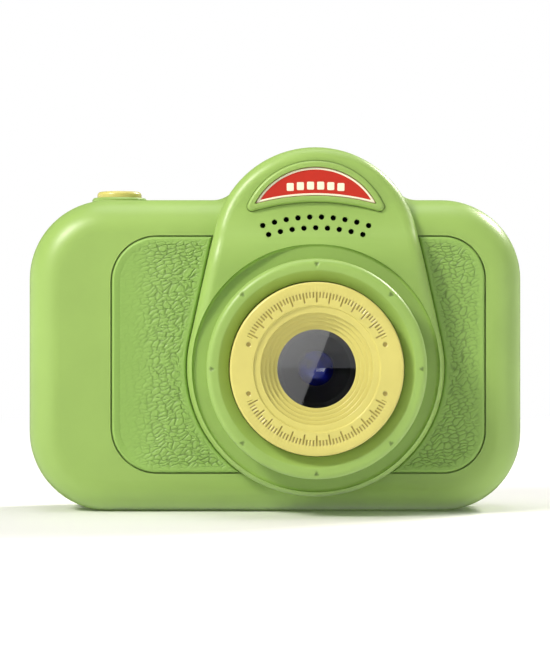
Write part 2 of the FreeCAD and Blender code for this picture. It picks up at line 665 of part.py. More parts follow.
def strap_slot():
    """Slot with rounded ends, open to the side."""
    zs = numbers(around("slot_z", "slot_height"))
    ys = numbers(around(SLOT_Y, "slot_width"))
    left = number(LEFT)
    slot = cuboid((left - BEYOND, left + number("slot_depth")), ys, zs)
    ends = [e for e in slot.Edges if is_along(e, V(1, 0, 0))]
    return slot.makeFillet(number("slot_width") * SLOT_END, ends)


def rear_shell(case):
    """Back half, with rims, pads, posts, strap well and every opening on the back and sides."""
    split = number(SPLIT)
    far = number("case_width")
    shell = case.common(cuboid((-far, far), (split, far), (-far, far)))
    inside = number(INSIDE_BACK)
    back = number(BACK)
    posts = []
    for x, z in CASE_SCREWS:
        posts.append(cylinder_y(number(x), number(z), split, back, number("post_radius")))
    for x, z in BOARD_SCREWS:
        posts.append(cylinder_y(number(x), number(z), number(BOARD_BACK), inside + SKIN,
                                number("board_post")))
    inner = case_block(SKIN)
    shell = shell.fuse([post.common(inner) for post in posts])
    shell = shell.fuse(strap_well()).fuse(raised_rims()).fuse(key_pads())
    xs = numbers(around(DISPLAY_X, "display_width"))
    zs = numbers(around("display_z", "display_height"))
    gap = number("seat_gap")
    seat = number(WINDOW_SEAT)
    below = inside - BEYOND
    rim_top = back + number("rim_height") + BEYOND
    radius = number("display_radius") + gap
    window = prism(rounded_rectangle(xs[0] - gap, xs[1] + gap, zs[0] - gap, zs[1] + gap,
                                     radius, radius, seat), seat, rim_top)
    edge = number("ledge")
    view = prism(rounded_rectangle(xs[0] + edge, xs[1] - edge, zs[0] + edge, zs[1] - edge,
                                   number("display_radius") - edge, number("display_radius") - edge,
                                   below), below, rim_top)
    cuts = [window, view, segment(gap, seat, rim_top), shutter_hole(), strap_slot()]
    cuts.append(cylinder_y(number("selfie_lens_x"), number(SELFIE_LENS_Z), below, rim_top,
                           number("selfie_barrel + key_gap")))
    for x, z, key_radius in KEYS.values():
        cuts.append(cylinder_y(number(x), number(z), below, rim_top,
                               number(f"{key_radius} + key_gap")))
        cuts.append(cylinder_y(number(x), number(z), number(SWITCH_TOP), inside,
                               number(f"{key_radius} + key_flange_border + key_gap")))
    for x, z in CASE_SCREWS:
        cuts.append(cylinder_y(number(x), number(z), split - BEYOND, rim_top,
                               number("screw_radius + key_gap")))
        cuts.append(cylinder_y(number(x), number(z), number(SCREW_SEAT), rim_top,
                               number("recess_radius")))
    for x, z in BOARD_SCREWS:
        cuts.append(cylinder_y(number(x), number(z), number(BOARD_BACK) - BEYOND,
                               number(f"{BOARD_BACK} + board_screw_length + thread_run_out"),
                               number("board_screw_radius + thread_gap")))
    cuts.append(cylinder_y(number(f"{LEFT} + mic_inset"), number("mic_z"), below, rim_top,
                           number("mic_hole")))
    cuts.append(cylinder_z(number(STRAP_BAR_X), number(SLOT_Y),
                           number("slot_z - slot_height / 2 - strap_bar_seat"),
                           number("slot_z + slot_height / 2 + strap_bar_seat"),
                           number("strap_bar_radius + thread_gap")))
    cuts.append(side_mouth("usb_z", "usb_width", "usb_height", "usb_height", "usb_rounding"))
    cuts.append(side_mouth("socket_z", "card_width", "card_slot", "socket_height", "card_slot / 4"))
    return shell.cut(cuts).removeSplitter()


def side_mouth(z, width, height, body_height, rounding):
    """Opening in the right-hand side wall in front of a socket on the main board."""
    gap = number("mouth_gap")
    right = number(RIGHT)
    ys = numbers(around(f"({BOARD_FRONT} - {body_height} / 2)", height))
    zs = numbers(around(z, width))
    mouth = cuboid((right - 2 * number("wall"), right + BEYOND), (ys[0] - gap, ys[1] + gap),
                   (zs[0] - gap, zs[1] + gap))
    ends = [e for e in mouth.Edges if is_along(e, V(1, 0, 0))]
    return mouth.makeFillet(number(rounding) + gap, ends)


def grip_panel(side):
    """One grained panel: the plate outside the hump, on the side of that sign."""
    y_low = number(f"{FRONT} - panel_proud")
    y_high = number(f"{FRONT} + panel_sink")
    plate = panel_plate(0, y_low, y_high)
    plate = plate.makeFillet(number("panel_proud"), [e for e in plate.Edges if in_plane(e, y_low)])
    pieces = plate.cut(bell(-number("panel_gap"), y_low - BEYOND, y_high + BEYOND)).Solids
    wanted = [p for p in pieces if (p.CenterOfMass.x - number("lens_x")) * side > 0]
    return max(wanted, key=lambda p: p.Volume)


def shells_and_panels():
    case = hollow_case()
    keep(shaped("FrontShell", front_shell(case)), "front_shell")
    keep(shaped("RearShell", rear_shell(case)), "rear_shell")
    keep(shaped("GripPanelLeft", grip_panel(-1)), "grip_panel_left")
    keep(shaped("GripPanelRight", grip_panel(1)), "grip_panel_right")


def badge():
    """Crescent frame sunk in its pocket, and the inlay inside it."""
    seat = number(f"{DOME_FACE} + badge_sink")
    front = number(f"{DOME_FACE} - badge_proud")
    window = number("seat_gap")
    frame = corners_rounded(crescent(number("badge_border"), front, seat), number("badge_rounding"))
    frame = frame.cut(crescent(window, front - BEYOND, seat + BEYOND))
    keep(shaped("BadgeFrame", frame), "badge_frame")
    inlay_front = front + number("inlay_setback")
    keep(shaped("BadgeInlay", crescent(0, inlay_front, seat)), "badge_inlay")


# ---------------------------------------------------------------- lens group
def lens_group():
    """Pieces turned about the lens axis, front to back."""
    rim = f"({TIP} + barrel_setback)"
    floor_back = f"({HUMP_FACE} + hump_wall + spigot_tail)"
    floor_front = f"({floor_back} - barrel_floor)"
    bore = "(ring_radius + key_gap)"
    keep(turned("LensBarrel", [
        ("barrel_radius", DISH_FLOOR), ("barrel_radius", f"{rim} + rim_rounding"),
        (f"barrel_radius - rim_rounding * {EDGE_SHARE}", f"{rim} + rim_rounding * {EDGE_SHARE}"),
        ("barrel_radius - rim_rounding", rim),
        ("barrel_radius - barrel_wall", f"{rim} + rim_step"),
        (bore, f"{rim} + rim_slope"), (bore, floor_front),
        ("cell_radius + key_gap", floor_front), ("cell_radius + key_gap", floor_back),
        ("spigot_radius", floor_back), ("spigot_radius", DISH_FLOOR),
    ], "lens_x", "0", "lens_z"), "lens_barrel")

    ring_back = f"({TIP} + ring_thickness)"
    hollow = f"({TIP} + ring_skin)"
    profile = [
        ("ring_radius", ring_back), ("ring_radius", f"{TIP} + ring_edge"),
        ("ring_radius - ring_edge", TIP),
        ("step_radius", TIP), ("step_radius", f"{TIP} + step_depth"),
        ("thread_radius", f"{TIP} + step_depth"),
    ]
    count = int(number("thread_count"))
    share = "(thread_radius - view_radius) / thread_count"
    drop = "(view_depth - step_depth) / thread_count"
    for i in range(count):
        radius = f"thread_radius - {i + 1} * {share}"
        depth = f"{TIP} + step_depth + {i + 1} * {drop}"
        profile.append((f"thread_radius - {i} * {share}", depth))
        profile.append((radius, depth))
    profile += [
        ("view_radius", GLASS_FRONT), ("glass_radius + seat_gap", GLASS_FRONT),
        ("glass_radius + seat_gap", GLASS_BACK), ("glass_radius + ring_skin", GLASS_BACK),
        ("glass_radius + ring_skin", f"{GLASS_BACK} - seat_step"),
        ("ring_radius - ring_skin", f"{hollow} + ring_web"), ("ring_radius - ring_skin", ring_back),
    ]
    keep(turned("LensRing", profile, "lens_x", "0", "lens_z"), "lens_ring")

    keep(turned("LensWindow", [
        ("0", GLASS_FRONT), ("glass_radius", GLASS_FRONT), ("glass_radius", GLASS_BACK),
        ("0", GLASS_BACK),
    ], "lens_x", "0", "lens_z"), "lens_window")

    iris = f"({GLASS_BACK} + iris_depth)"
    keep(turned("CameraCell", [
        ("cell_radius", GLASS_BACK), ("cell_radius", CELL_BACK), ("iris_radius", CELL_BACK),
        ("iris_radius", f"{iris} + element_thickness + element_room"),
        ("element_radius + seat_gap", f"{iris} + element_thickness + element_room"),
        ("element_radius + seat_gap", f"{iris} + iris_lip"),
        ("element_radius - element_ledge", f"{iris} + iris_lip"), ("element_radius", iris),
        ("cell_radius - cell_wall - baffle_step", f"{GLASS_BACK} + baffle_depth"),
        ("cell_radius - cell_wall", f"{GLASS_BACK} + baffle_depth"),
        ("cell_radius - cell_wall", GLASS_BACK),
    ], "lens_x", "0", "lens_z"), "camera_cell")

    element_front = f"({iris} + iris_lip + element_ledge)"
    dome = [(f"element_radius * {share}", f"{element_front} + element_bulge * {share ** 2}")
            for share in DOME_SHARES]
    keep(turned("CameraLens", dome + [
        ("element_radius", f"{element_front} + element_thickness"),
        ("0", f"{element_front} + element_thickness"),
    ], "lens_x", "0", "lens_z"), "camera_lens")

    sensor_back = f"({CELL_BACK} + sensor_depth)"
    body = block("SensorBlock", around("lens_x", "sensor_side"), (CELL_BACK, sensor_back),
                 around("lens_z", "sensor_side"))
    board = block("SensorBoard", around("lens_x", "sensor_board_side"),
                  (sensor_back, f"{sensor_back} + board_thickness"),
                  around("lens_z", "sensor_board_side"))
    keep(joined("CameraSensor", [body, board]), "camera_sensor")


# ---------------------------------------------------------------- keys and shutter
def key(name, x, z, radius):
    """Key cap with its inner flange and stem, and the switch plunger under it."""
    top = f"({BACK} + key_proud)"
    keep(turned(name.title() + "Button", [
        ("0", PLUNGER_TOP), ("stem_radius", PLUNGER_TOP), ("stem_radius", f"{KEY_STOP} - key_flange"),
        (f"{radius} + key_flange_border", f"{KEY_STOP} - key_flange"),
        (f"{radius} + key_flange_border", KEY_STOP), (radius, KEY_STOP),
        (radius, f"{top} - key_edge"),
        (f"{radius} - key_edge * {EDGE_SHARE}", f"{top} - key_edge * {EDGE_SHARE}"),
        (f"{radius} - key_edge", top), ("0", top),
    ], x, "0", z), name + "_button")
    keep(rod_y(name.title() + "Plunger", x, z, (f"{SWITCH_TOP} - plunger_depth", PLUNGER_TOP),
               "plunger_radius"), name + "_plunger")


def keys_and_switches():
    bases = []
    for name, (x, z, radius) in KEYS.items():
        key(name, x, z, radius)
        base = block(name.title() + "SwitchBody", around(x, "switch_side"),
                     (BOARD_BACK, SWITCH_TOP), around(z, "switch_side"))
        bore_end = f"{SWITCH_TOP} - plunger_depth - key_travel - bore_run_out"
        bore = rod_y(name.title() + "SwitchBore", x, z, (bore_end, SWITCH_TOP),
                     "plunger_radius + plunger_gap")
        bases.append(without(name.title() + "Switch", base, bore))
    keep(group("KeySwitches", bases), "key_switches")


def shutter():
    """Shutter button, its collar, plunger, switch and the small board that carries it."""
    top = "(case_height + shutter_rise)"
    keep(turned("ShutterButton", [
        ("0", SHUTTER_PLUNGER_TOP), ("stem_radius", SHUTTER_PLUNGER_TOP),
        ("stem_radius", f"{SHUTTER_STOP} - key_flange"),
        ("shutter_radius + key_flange_border", f"{SHUTTER_STOP} - key_flange"),
        ("shutter_radius + key_flange_border", SHUTTER_STOP), ("shutter_radius", SHUTTER_STOP),
        ("shutter_radius", f"{top} - shutter_edge"),
        (f"shutter_radius - shutter_edge * {EDGE_SHARE}", f"{top} - shutter_edge * {EDGE_SHARE}"),
        ("shutter_radius - shutter_edge", top), ("0", top),
    ], SHUTTER_X, SHUTTER_Y, "0", "XZ_Plane"), "shutter_button")
    keep(rod_z("ShutterPlunger", SHUTTER_X, SHUTTER_Y,
               (f"{SHUTTER_SWITCH_TOP} - plunger_depth", SHUTTER_PLUNGER_TOP), "plunger_radius"),
         "shutter_plunger")
    inner = "(shutter_radius + key_gap)"
    spigot = f"({inner} + collar_spigot)"
    outer = "(shutter_radius + collar_border)"
    keep(turned("ShutterCollar", [
        (inner, "case_height - wall"), (spigot, "case_height - wall"), (spigot, "case_height"),
        (outer, "case_height"), (outer, "case_height + collar_rise - collar_edge"),
        (f"{outer} - collar_edge", "case_height + collar_rise"),
        (inner, "case_height + collar_rise"),
    ], SHUTTER_X, SHUTTER_Y, "0", "XZ_Plane"), "shutter_collar")
    base = block("ShutterSwitchBody", around(SHUTTER_X, "switch_side"),
                 around(SHUTTER_Y, "switch_side"), (SHUTTER_BOARD_TOP, SHUTTER_SWITCH_TOP))
    bore = rod_z("ShutterSwitchBore", SHUTTER_X, SHUTTER_Y,
                 (f"{SHUTTER_SWITCH_TOP} - plunger_depth - shutter_travel - bore_run_out",
                  SHUTTER_SWITCH_TOP),
                 "plunger_radius + plunger_gap")
    keep(without("ShutterSwitch", base, bore), "shutter_switch")
    keep(block("ShutterBoard", around(SHUTTER_X, "shutter_board_side"),
               around(SHUTTER_Y, "shutter_board_side"), (SHELF_TOP, SHUTTER_BOARD_TOP)),
         "shutter_board")


# ---------------------------------------------------------------- display and selfie camera
def display():
    xs = around(DISPLAY_X, "display_width")
    zs = around("display_z", "display_height")
    keep(rounded_plate("DisplayWindow", xs, zs, (WINDOW_SEAT, WINDOW_BACK), "display_radius"),
         "display_window")
    lcd_x = (f"{xs[0]} + lcd_margin", f"{xs[1]} - lcd_margin")
    lcd_z = (f"{zs[0]} + lcd_end_margin", f"{zs[1]} - lcd_end_margin")
    gasket_front = f"({INSIDE_BACK} - gasket_thickness)"
    keep(block("LcdModule", lcd_x, (f"{gasket_front} - lcd_depth", gasket_front), lcd_z),
         "lcd_module")
    outer = block("GasketOuter", lcd_x, (gasket_front, INSIDE_BACK), lcd_z)
    inner = block("GasketInner", (f"{lcd_x[0]} + gasket_width", f"{lcd_x[1]} - gasket_width"),
                  (gasket_front, INSIDE_BACK),
                  (f"{lcd_z[0]} + gasket_width", f"{lcd_z[1]} - gasket_width"))
    keep(without("DisplayGasket", outer, inner), "display_gasket")


def selfie():
    seat = number(WINDOW_SEAT)
    window = corners_rounded(segment(0, seat, number(WINDOW_BACK)),
                             number("selfie_corner"))
    keep(shaped("SelfieWindow", window), "selfie_window")
    base_back = f"({INSIDE_BACK} - selfie_setback)"
    base = block("SelfieBase", around("selfie_lens_x", "selfie_side"),
                 (f"{base_back} - selfie_depth", base_back), around(SELFIE_LENS_Z, "selfie_side"))
    barrel_end = f"({WINDOW_SEAT} - selfie_clearance)"
    barrel = rod_y("SelfieBarrel", "selfie_lens_x", SELFIE_LENS_Z, (base_back, barrel_end),
                   "selfie_barrel")
    bore = rod_y("SelfieBore", "selfie_lens_x", SELFIE_LENS_Z,
                 (f"{barrel_end} - selfie_bore", barrel_end), "selfie_iris + seat_gap")
    keep(without("SelfieCamera", joined("SelfieBody", [base, barrel]), bore), "selfie_camera")
    glass = f"({barrel_end} - selfie_bore)"
    top = f"({glass} + selfie_glass + selfie_bulge)"
    dome = [(f"selfie_iris * {share}", f"{top} - selfie_bulge * {share ** 2}")
            for share in reversed(DOME_SHARES)]
    keep(turned("SelfieLens", [("0", glass), ("selfie_iris", glass)] + dome,
                "selfie_lens_x", "0", SELFIE_LENS_Z), "selfie_lens")


# ---------------------------------------------------------------- boards, sockets, ribbons
def boards():
    right = f"({RIGHT} - wall - board_side_gap)"
    main_x = (f"{DISPLAY_X} - board_reach", right)
    main_z = ("board_bottom", "board_bottom + board_height")
    ys = (BOARD_FRONT, BOARD_BACK)
    left = f"({LEFT} + key_board_left_inset)"
    key_x = (left, f"{left} + key_board_width")
    key_z = ("key_board_bottom", "key_board_bottom + key_board_height")
    plates = [("Main", main_x, main_z, BOARD_SCREWS[:2], "main_board"),
              ("Key", key_x, key_z, BOARD_SCREWS[2:], "key_board")]
    screws = []
    for name, xs, zs, holes, label in plates:
        plate = block(name + "Plate", xs, ys, zs)
        drills = []
        for i, (x, z) in enumerate(holes):
            drills.append(rod_y(f"{name}Drill{i}", x, z, ys, "board_screw_radius + seat_gap"))
            screws.append(board_screw(f"{name}Screw{i}", x, z))
        keep(without(name + "Board", plate, group(name + "Drills", drills)), label)
    keep(group("BoardScrews", screws), "board_screws")


def board_screw(name, x, z):
    head = rod_y(name + "Head", x, z, (f"{BOARD_FRONT} - board_screw_head_height", BOARD_FRONT),
                 "board_screw_head")
    shaft = rod_y(name + "Shaft", x, z, (BOARD_FRONT, f"{BOARD_BACK} + board_screw_length"),
                  "board_screw_radius")
    return joined(name, [head, shaft])


def electronics():
    front = BOARD_FRONT
    chips = []
    for name, (x, z, width, height, depth) in CHIPS.items():
        chips.append(block(name, around(f"lens_x + {x}", str(width)), (f"{front} - {depth}", front),
                           around(f"board_bottom + {z}", str(height))))
    keep(group("BoardChips", chips), "board_chips")
    usb_x = (f"{RIGHT} - usb_setback - usb_length", f"{RIGHT} - usb_setback")
    usb_y = (f"{front} - usb_height", front)
    usb_z = around("usb_z", "usb_width")
    shell = edges_rounded("UsbShellRound", block("UsbShell", usb_x, usb_y, usb_z), V(1, 0, 0),
                          "usb_rounding")
    hollow = block("UsbPocket", (f"{usb_x[0]} + usb_back", usb_x[1]),
                   (f"{usb_y[0]} + usb_skin", f"{usb_y[1]} - usb_skin"),
                   (f"{usb_z[0]} + usb_skin", f"{usb_z[1]} - usb_skin"))
    pocket = edges_rounded("UsbPocketRound", hollow, V(1, 0, 0), "usb_rounding - usb_skin")
    tongue = block("UsbTongue", (f"{usb_x[0]} + usb_back", f"{usb_x[1]} - usb_tongue_setback"),
                   around(f"({front} - usb_height / 2)", "usb_tongue"),
                   around("usb_z", "usb_width - 2 * usb_tongue_margin"))
    keep(joined("UsbPort", [without("UsbHollow", shell, pocket), tongue]), "usb_port")
    socket_x = (f"{RIGHT} - wall - seat_gap - socket_length", f"{RIGHT} - wall - seat_gap")
    socket = block("CardBody", socket_x, (f"{front} - socket_height", front),
                   around("socket_z", "socket_width"))
    slot = block("CardSlot", (f"{socket_x[0]} + socket_back", socket_x[1]),
                 around(f"({front} - socket_height / 2)", "card_slot"),
                 around("socket_z", "card_width"))
    keep(without("CardSocket", socket, slot), "card_socket")
    keep(block("Microphone", around(f"({LEFT} + mic_inset)", "mic_side"),
               (BOARD_BACK, f"{BOARD_BACK} + mic_height"), around("mic_z", "mic_side")),
         "microphone")


def strip(name, xs, corners):
    """Flat ribbon: an outline in the YZ plane padded along X."""
    body = doc.addObject("PartDesign::Body", name)
    sketch = sketch_on(body, "YZ_Plane", corners)
    pad = body.newObject("PartDesign::Pad", name + "Pad")
    pad.Profile = sketch
    pad.setExpression("Length", bound(f"({xs[1]}) - ({xs[0]})"))
    return put(body, xs[0], "0", "0")


def ribbons():
    """Flat ribbons that join the modules to the main board."""
    t = "ribbon_thickness"
    lcd_bottom = "(display_z - display_height / 2 + lcd_end_margin)"
    lcd_y = f"({INSIDE_BACK} - gasket_thickness - lcd_depth)"
    low = f"({lcd_bottom} - ribbon_drop)"
    rear = f"({lcd_y} + ribbon_inset)"
    front = BOARD_FRONT
    board_top = "(board_bottom + ribbon_land)"
    keep(strip("DisplayRibbon", around(DISPLAY_X, "ribbon_width * 2"), [
        (rear, lcd_bottom), (rear, low), (f"{front} - {t}", low), (f"{front} - {t}", board_top),
        (front, board_top), (front, f"{low} + {t}"), (f"{rear} - {t}", f"{low} + {t}"),
        (f"{rear} - {t}", lcd_bottom),
    ]), "display_ribbon")
    sensor_back = f"({CELL_BACK} + sensor_depth + board_thickness)"
    low_z = "(lens_z - camera_ribbon_drop)"
    high_z = f"({low_z} + ribbon_land)"
    keep(strip("CameraRibbon", around("lens_x", "ribbon_width"), [
        (sensor_back, "lens_z"), (sensor_back, low_z), (front, low_z), (front, high_z),
        (f"{front} - {t}", high_z), (f"{front} - {t}", f"{low_z} + {t}"),
        (f"{sensor_back} + {t}", f"{low_z} + {t}"), (f"{sensor_back} + {t}", "lens_z"),
    ]), "camera_ribbon")
    selfie_low = f"({SELFIE_LENS_Z} - selfie_side / 2)"
    start = f"({INSIDE_BACK} - selfie_setback - selfie_depth + ribbon_inset)"
    turn = f"({selfie_low} - selfie_ribbon_drop)"
    edge = "(board_bottom + board_height)"
    land = f"({edge} - selfie_ribbon_land)"
    keep(strip("SelfieRibbon", around("selfie_lens_x", "ribbon_width"), [
        (start, selfie_low), (start, turn), (BOARD_BACK, edge), (BOARD_BACK, land),
        (f"{BOARD_BACK} + {t}", land), (f"{BOARD_BACK} + {t}", edge),
        (f"{start} + {t}", turn), (f"{start} + {t}", selfie_low),
    ]), "selfie_ribbon")
    keep(block("KeyRibbon", (f"{LEFT} + key_board_left_inset + key_board_width - ribbon_overlap",
                             f"{DISPLAY_X} - board_reach + ribbon_overlap"),
               (f"{front} - {t}", front), around("pair_z", "ribbon_width")), "key_ribbon")


def bent_wire(points, bend):
    """Wire of straight runs joined by tangent arcs of one radius."""
    edges = []
    start = points[0]
    for before, corner, after in zip(points, points[1:], points[2:]):
        into = (corner - before).normalize()
        out = (after - corner).normalize()
        turn = into.getAngle(out)
        reach = bend * math.tan(turn / 2)
        first = corner - into * reach
        last = corner + out * reach
        centre = first + (out - into * math.cos(turn)).normalize() * bend
        middle = centre + (corner - centre).normalize() * bend
        edges.append(Part.LineSegment(start, first).toShape())
        edges.append(Part.Arc(first, middle, last).toShape())
        start = last
    edges.append(Part.LineSegment(start, points[-1]).toShape())
    return Part.Wire(edges)


def leads(name, label, points):
    """A pair of insulated wires side by side along one route."""
    radius = number("lead_radius")
    wires = []
    for side in (-0.5, 0.5):
        shift = V(side * number("lead_pitch"), 0, 0)
        path = bent_wire([p + shift for p in points], number("lead_bend"))
        direction = points[1] - points[0]
        ring = Part.Wire([Part.Circle(points[0] + shift, direction, radius).toShape()])
        wires.append(path.makePipeShell([ring], True, True))
    return keep(shaped(name, Part.Compound(wires)), label)


def battery_and_speaker():
    left = f"({LEFT} + battery_left_inset)"
    xs = (left, f"{left} + battery_width")
    zs = ("battery_bottom", "battery_bottom + battery_height")
    start = f"({INSIDE_FRONT} + pad_thickness)"
    keep(rounded_plate("Battery", xs, zs, (start, f"{start} + battery_depth"),
                       "battery_rounding"), "battery")
    keep(block("BatteryPad", (f"{xs[0]} + pad_inset", f"{xs[1]} - pad_inset"),
               (INSIDE_FRONT, start), (f"{zs[0]} + pad_inset", f"{zs[1]} - pad_inset")),
         "battery_pad")
    socket_x, socket_z, socket_width, socket_height, socket_depth = CHIPS["BatterySocket"]
    lead_x = number(f"lens_x + {socket_x}")
    top = number(zs[1])
    lead_y = number(f"{start} + battery_depth / 2 + lead_offset")
    end_y = number(f"{BOARD_FRONT} - {socket_depth} / 2")
    arch = top + number("lead_arch")
    socket_top = number(f"board_bottom + {socket_z} + {socket_height} / 2")
    battery_x = min(lead_x, number(f"{xs[1]} - lead_side"))
    leads("BatteryLeads", "battery_leads", [
        V(battery_x, lead_y, top), V(battery_x, lead_y, arch), V(lead_x, end_y, arch),
        V(lead_x, end_y, socket_top)])
    speaker_z = f"({DOME_Z} + speaker_above_dome)"
    cloth = f"({DOME_FACE} + hump_wall)"
    speaker_front = f"({cloth} + cloth_thickness)"
    speaker_back = f"({speaker_front} + speaker_depth)"
    keep(rod_y("SpeakerCloth", "lens_x", speaker_z, (cloth, speaker_front), "cloth_radius"),
         "speaker_cloth")
    frame_back = f"({speaker_front} + frame_depth)"
    frame = rod_y("SpeakerFrame", "lens_x", speaker_z, (speaker_front, frame_back),
                  "speaker_radius")
    magnet = rod_y("SpeakerMagnet", "lens_x", speaker_z, (frame_back, speaker_back),
                   "magnet_radius")
    keep(joined("Speaker", [frame, magnet]), "speaker")
    x = number("lens_x - speaker_lead_x")
    z = number(f"{speaker_z} - speaker_radius + speaker_lead_z")
    y = number(frame_back)
    board = number(f"{BOARD_FRONT} - lead_radius")
    end_z = number("board_bottom + board_height - selfie_ribbon_land")
    leads("SpeakerLeads", "speaker_leads", [
        V(x, y, z), V(x, (y + board) / 2, z), V(x, board, end_z)])


# ---------------------------------------------------------------- fasteners
def fasteners():
    screws = []
    for i, (x, z) in enumerate(CASE_SCREWS):
        head = rod_y(f"CaseScrewHead{i}", x, z, (SCREW_SEAT, f"{SCREW_SEAT} + screw_head_height"),
                     "screw_head")
        shaft = rod_y(f"CaseScrewShaft{i}", x, z, (SCREW_TIP, SCREW_SEAT), "screw_radius")
        screws.append(joined(f"CaseScrew{i}", [head, shaft]))
    keep(group("CaseScrews", screws), "case_screws")
    keep(rod_z("StrapBar", STRAP_BAR_X, SLOT_Y,
               ("slot_z - slot_height / 2 - strap_bar_seat",
                "slot_z + slot_height / 2 + strap_bar_seat"), "strap_bar_radius"), "strap_bar")


def check_and_write():
    """Refuses a failed object or a bad shape, then writes one file per piece."""
    doc.recompute()
    for thing in doc.Objects:
        if "Invalid" in thing.State or "Error" in thing.State:
            raise RuntimeError(f"{thing.Name} ({thing.Label}) failed: {thing.State}")
    for piece in NODES:
        shape = piece.Shape
        if shape.isNull() or not shape.isValid() or not shape.Solids:
            raise RuntimeError(f"{piece.Label} has no valid solid")
    os.makedirs("parts", exist_ok=True)
    for piece in NODES:
        piece.Shape.exportStep(os.path.join("parts", piece.Label + ".step"))
        print(f"{piece.Label:18s} {len(piece.Shape.Solids)} solids {piece.Shape.Volume:9.1f} mm3")


shells_and_panels()
badge()
lens_group()
keys_and_switches()
shutter()
display()
selfie()
boards()
electronics()
ribbons()
battery_and_speaker()
fasteners()
check_and_write()
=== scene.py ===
"""Looks of a kids digital camera, laid out as an add-on and run as a script.

Metres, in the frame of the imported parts: +Z is up, the lens looks along -Y and the display faces
+Y. Shapes are worked out in millimetres and put into the meshes in metres.
"""

import math

import bpy
import numpy as np
from bpy.props import FloatProperty, FloatVectorProperty, IntProperty, PointerProperty
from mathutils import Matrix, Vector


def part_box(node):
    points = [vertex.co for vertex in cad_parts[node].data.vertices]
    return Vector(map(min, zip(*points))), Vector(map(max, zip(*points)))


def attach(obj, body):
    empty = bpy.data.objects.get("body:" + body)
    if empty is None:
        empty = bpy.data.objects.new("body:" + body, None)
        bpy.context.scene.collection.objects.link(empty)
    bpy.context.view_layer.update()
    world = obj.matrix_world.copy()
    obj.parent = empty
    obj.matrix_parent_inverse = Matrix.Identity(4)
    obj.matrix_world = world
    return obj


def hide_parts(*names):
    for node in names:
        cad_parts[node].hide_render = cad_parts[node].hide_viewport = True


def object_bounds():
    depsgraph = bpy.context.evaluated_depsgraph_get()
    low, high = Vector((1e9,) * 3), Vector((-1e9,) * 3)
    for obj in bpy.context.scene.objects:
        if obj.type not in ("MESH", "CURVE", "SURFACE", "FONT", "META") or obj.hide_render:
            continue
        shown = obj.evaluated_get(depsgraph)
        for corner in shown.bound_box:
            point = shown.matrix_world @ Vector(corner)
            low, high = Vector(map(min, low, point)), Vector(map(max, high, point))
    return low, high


bl_info = {
    "name": "Kids Camera Looks",
    "version": (1, 0, 0),
    "blender": (4, 5, 0),
    "location": "View3D > Sidebar > Kids Camera",
    "description": "Moulded shells, grained grips, lens, keys and glass of a kids digital camera",
    "category": "Object",
}

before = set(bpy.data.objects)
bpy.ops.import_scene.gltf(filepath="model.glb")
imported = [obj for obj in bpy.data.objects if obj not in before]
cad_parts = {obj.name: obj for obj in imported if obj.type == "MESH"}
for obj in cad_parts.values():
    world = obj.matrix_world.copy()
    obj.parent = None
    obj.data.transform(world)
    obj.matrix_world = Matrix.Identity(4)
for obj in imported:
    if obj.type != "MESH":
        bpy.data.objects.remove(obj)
bpy.context.view_layer.update()
CAD_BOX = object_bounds()
MM = 0.001  # one millimetre in metres


def linear(hex_colour):
    """sRGB hex colour as linear RGBA."""
    parts = [int(hex_colour[i:i + 2], 16) / 255 for i in (1, 3, 5)]
    return tuple(p / 12.92 if p <= 0.04045 else ((p + 0.055) / 1.055) ** 2.4
                 for p in parts) + (1.0,)


def low_high(node):
    """A part's lowest and highest corner in millimetres."""
    return [np.array(corner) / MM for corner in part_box(node)]


def middle(node):
    """The centre of a part's box in millimetres."""
    low, high = low_high(node)
    return (low + high) / 2


# ---------------------------------------------------------------- sizes and colours
def length(name, text, millimetres):
    """A length property with its default in millimetres."""
    return FloatProperty(name=name, description=text, default=millimetres * MM, min=0.0,
                         precision=5, unit="LENGTH", subtype="DISTANCE")


def colour(name, text, hex_colour):
    """A colour property with its default as an sRGB hex colour."""
    return FloatVectorProperty(name=name, description=text, default=linear(hex_colour), size=4,
                               min=0.0, max=1.0, subtype="COLOR")


class KidsCameraSizes(bpy.types.PropertyGroup):
    """Sizes of the details that the looks add."""

    grain_depth: length("Grain Depth", "Depth of the creases in the grip panels", 0.2)
    grain_pitch: length("Grain Pitch", "Distance between neighbouring creases", 0.85)
    scoop_depth: length("Scoop Depth", "Depth of the finger scoop in the left-hand grip", 0.6)
    tick_depth: length("Tick Depth", "Depth of the engraved scale on the lens ring", 0.14)
    mark_depth: length("Mark Depth", "Depth of the index marks on the lens barrel", 0.18)
    icon_depth: length("Icon Depth", "Depth of the symbols in the keys", 0.22)
    key_edge: length("Key Edge", "Rounding of the key caps", 0.45)
    badge_square: length("Badge Square", "Side of the white squares on the badge", 1.3)
    ring_steps: IntProperty(name="Ring Steps", description="Columns round the lens ring",
                            default=864, min=90)


class KidsCameraColours(bpy.types.PropertyGroup):
    """Colours of the moulded parts and the glass."""

    shell: colour("Shell", "Green ABS of the case", "#93b35b")
    grip: colour("Grip", "Green of the grip panels", "#86aa52")
    yellow: colour("Yellow", "Yellow ABS of the keys and lens ring", "#cdc46d")
    red: colour("Red", "Red face of the badge", "#c32c1b")
    cream: colour("Cream", "Line and squares on the badge", "#f1ead2")
    glass: colour("Glass", "Black print behind the display glass", "#0b0b0e")


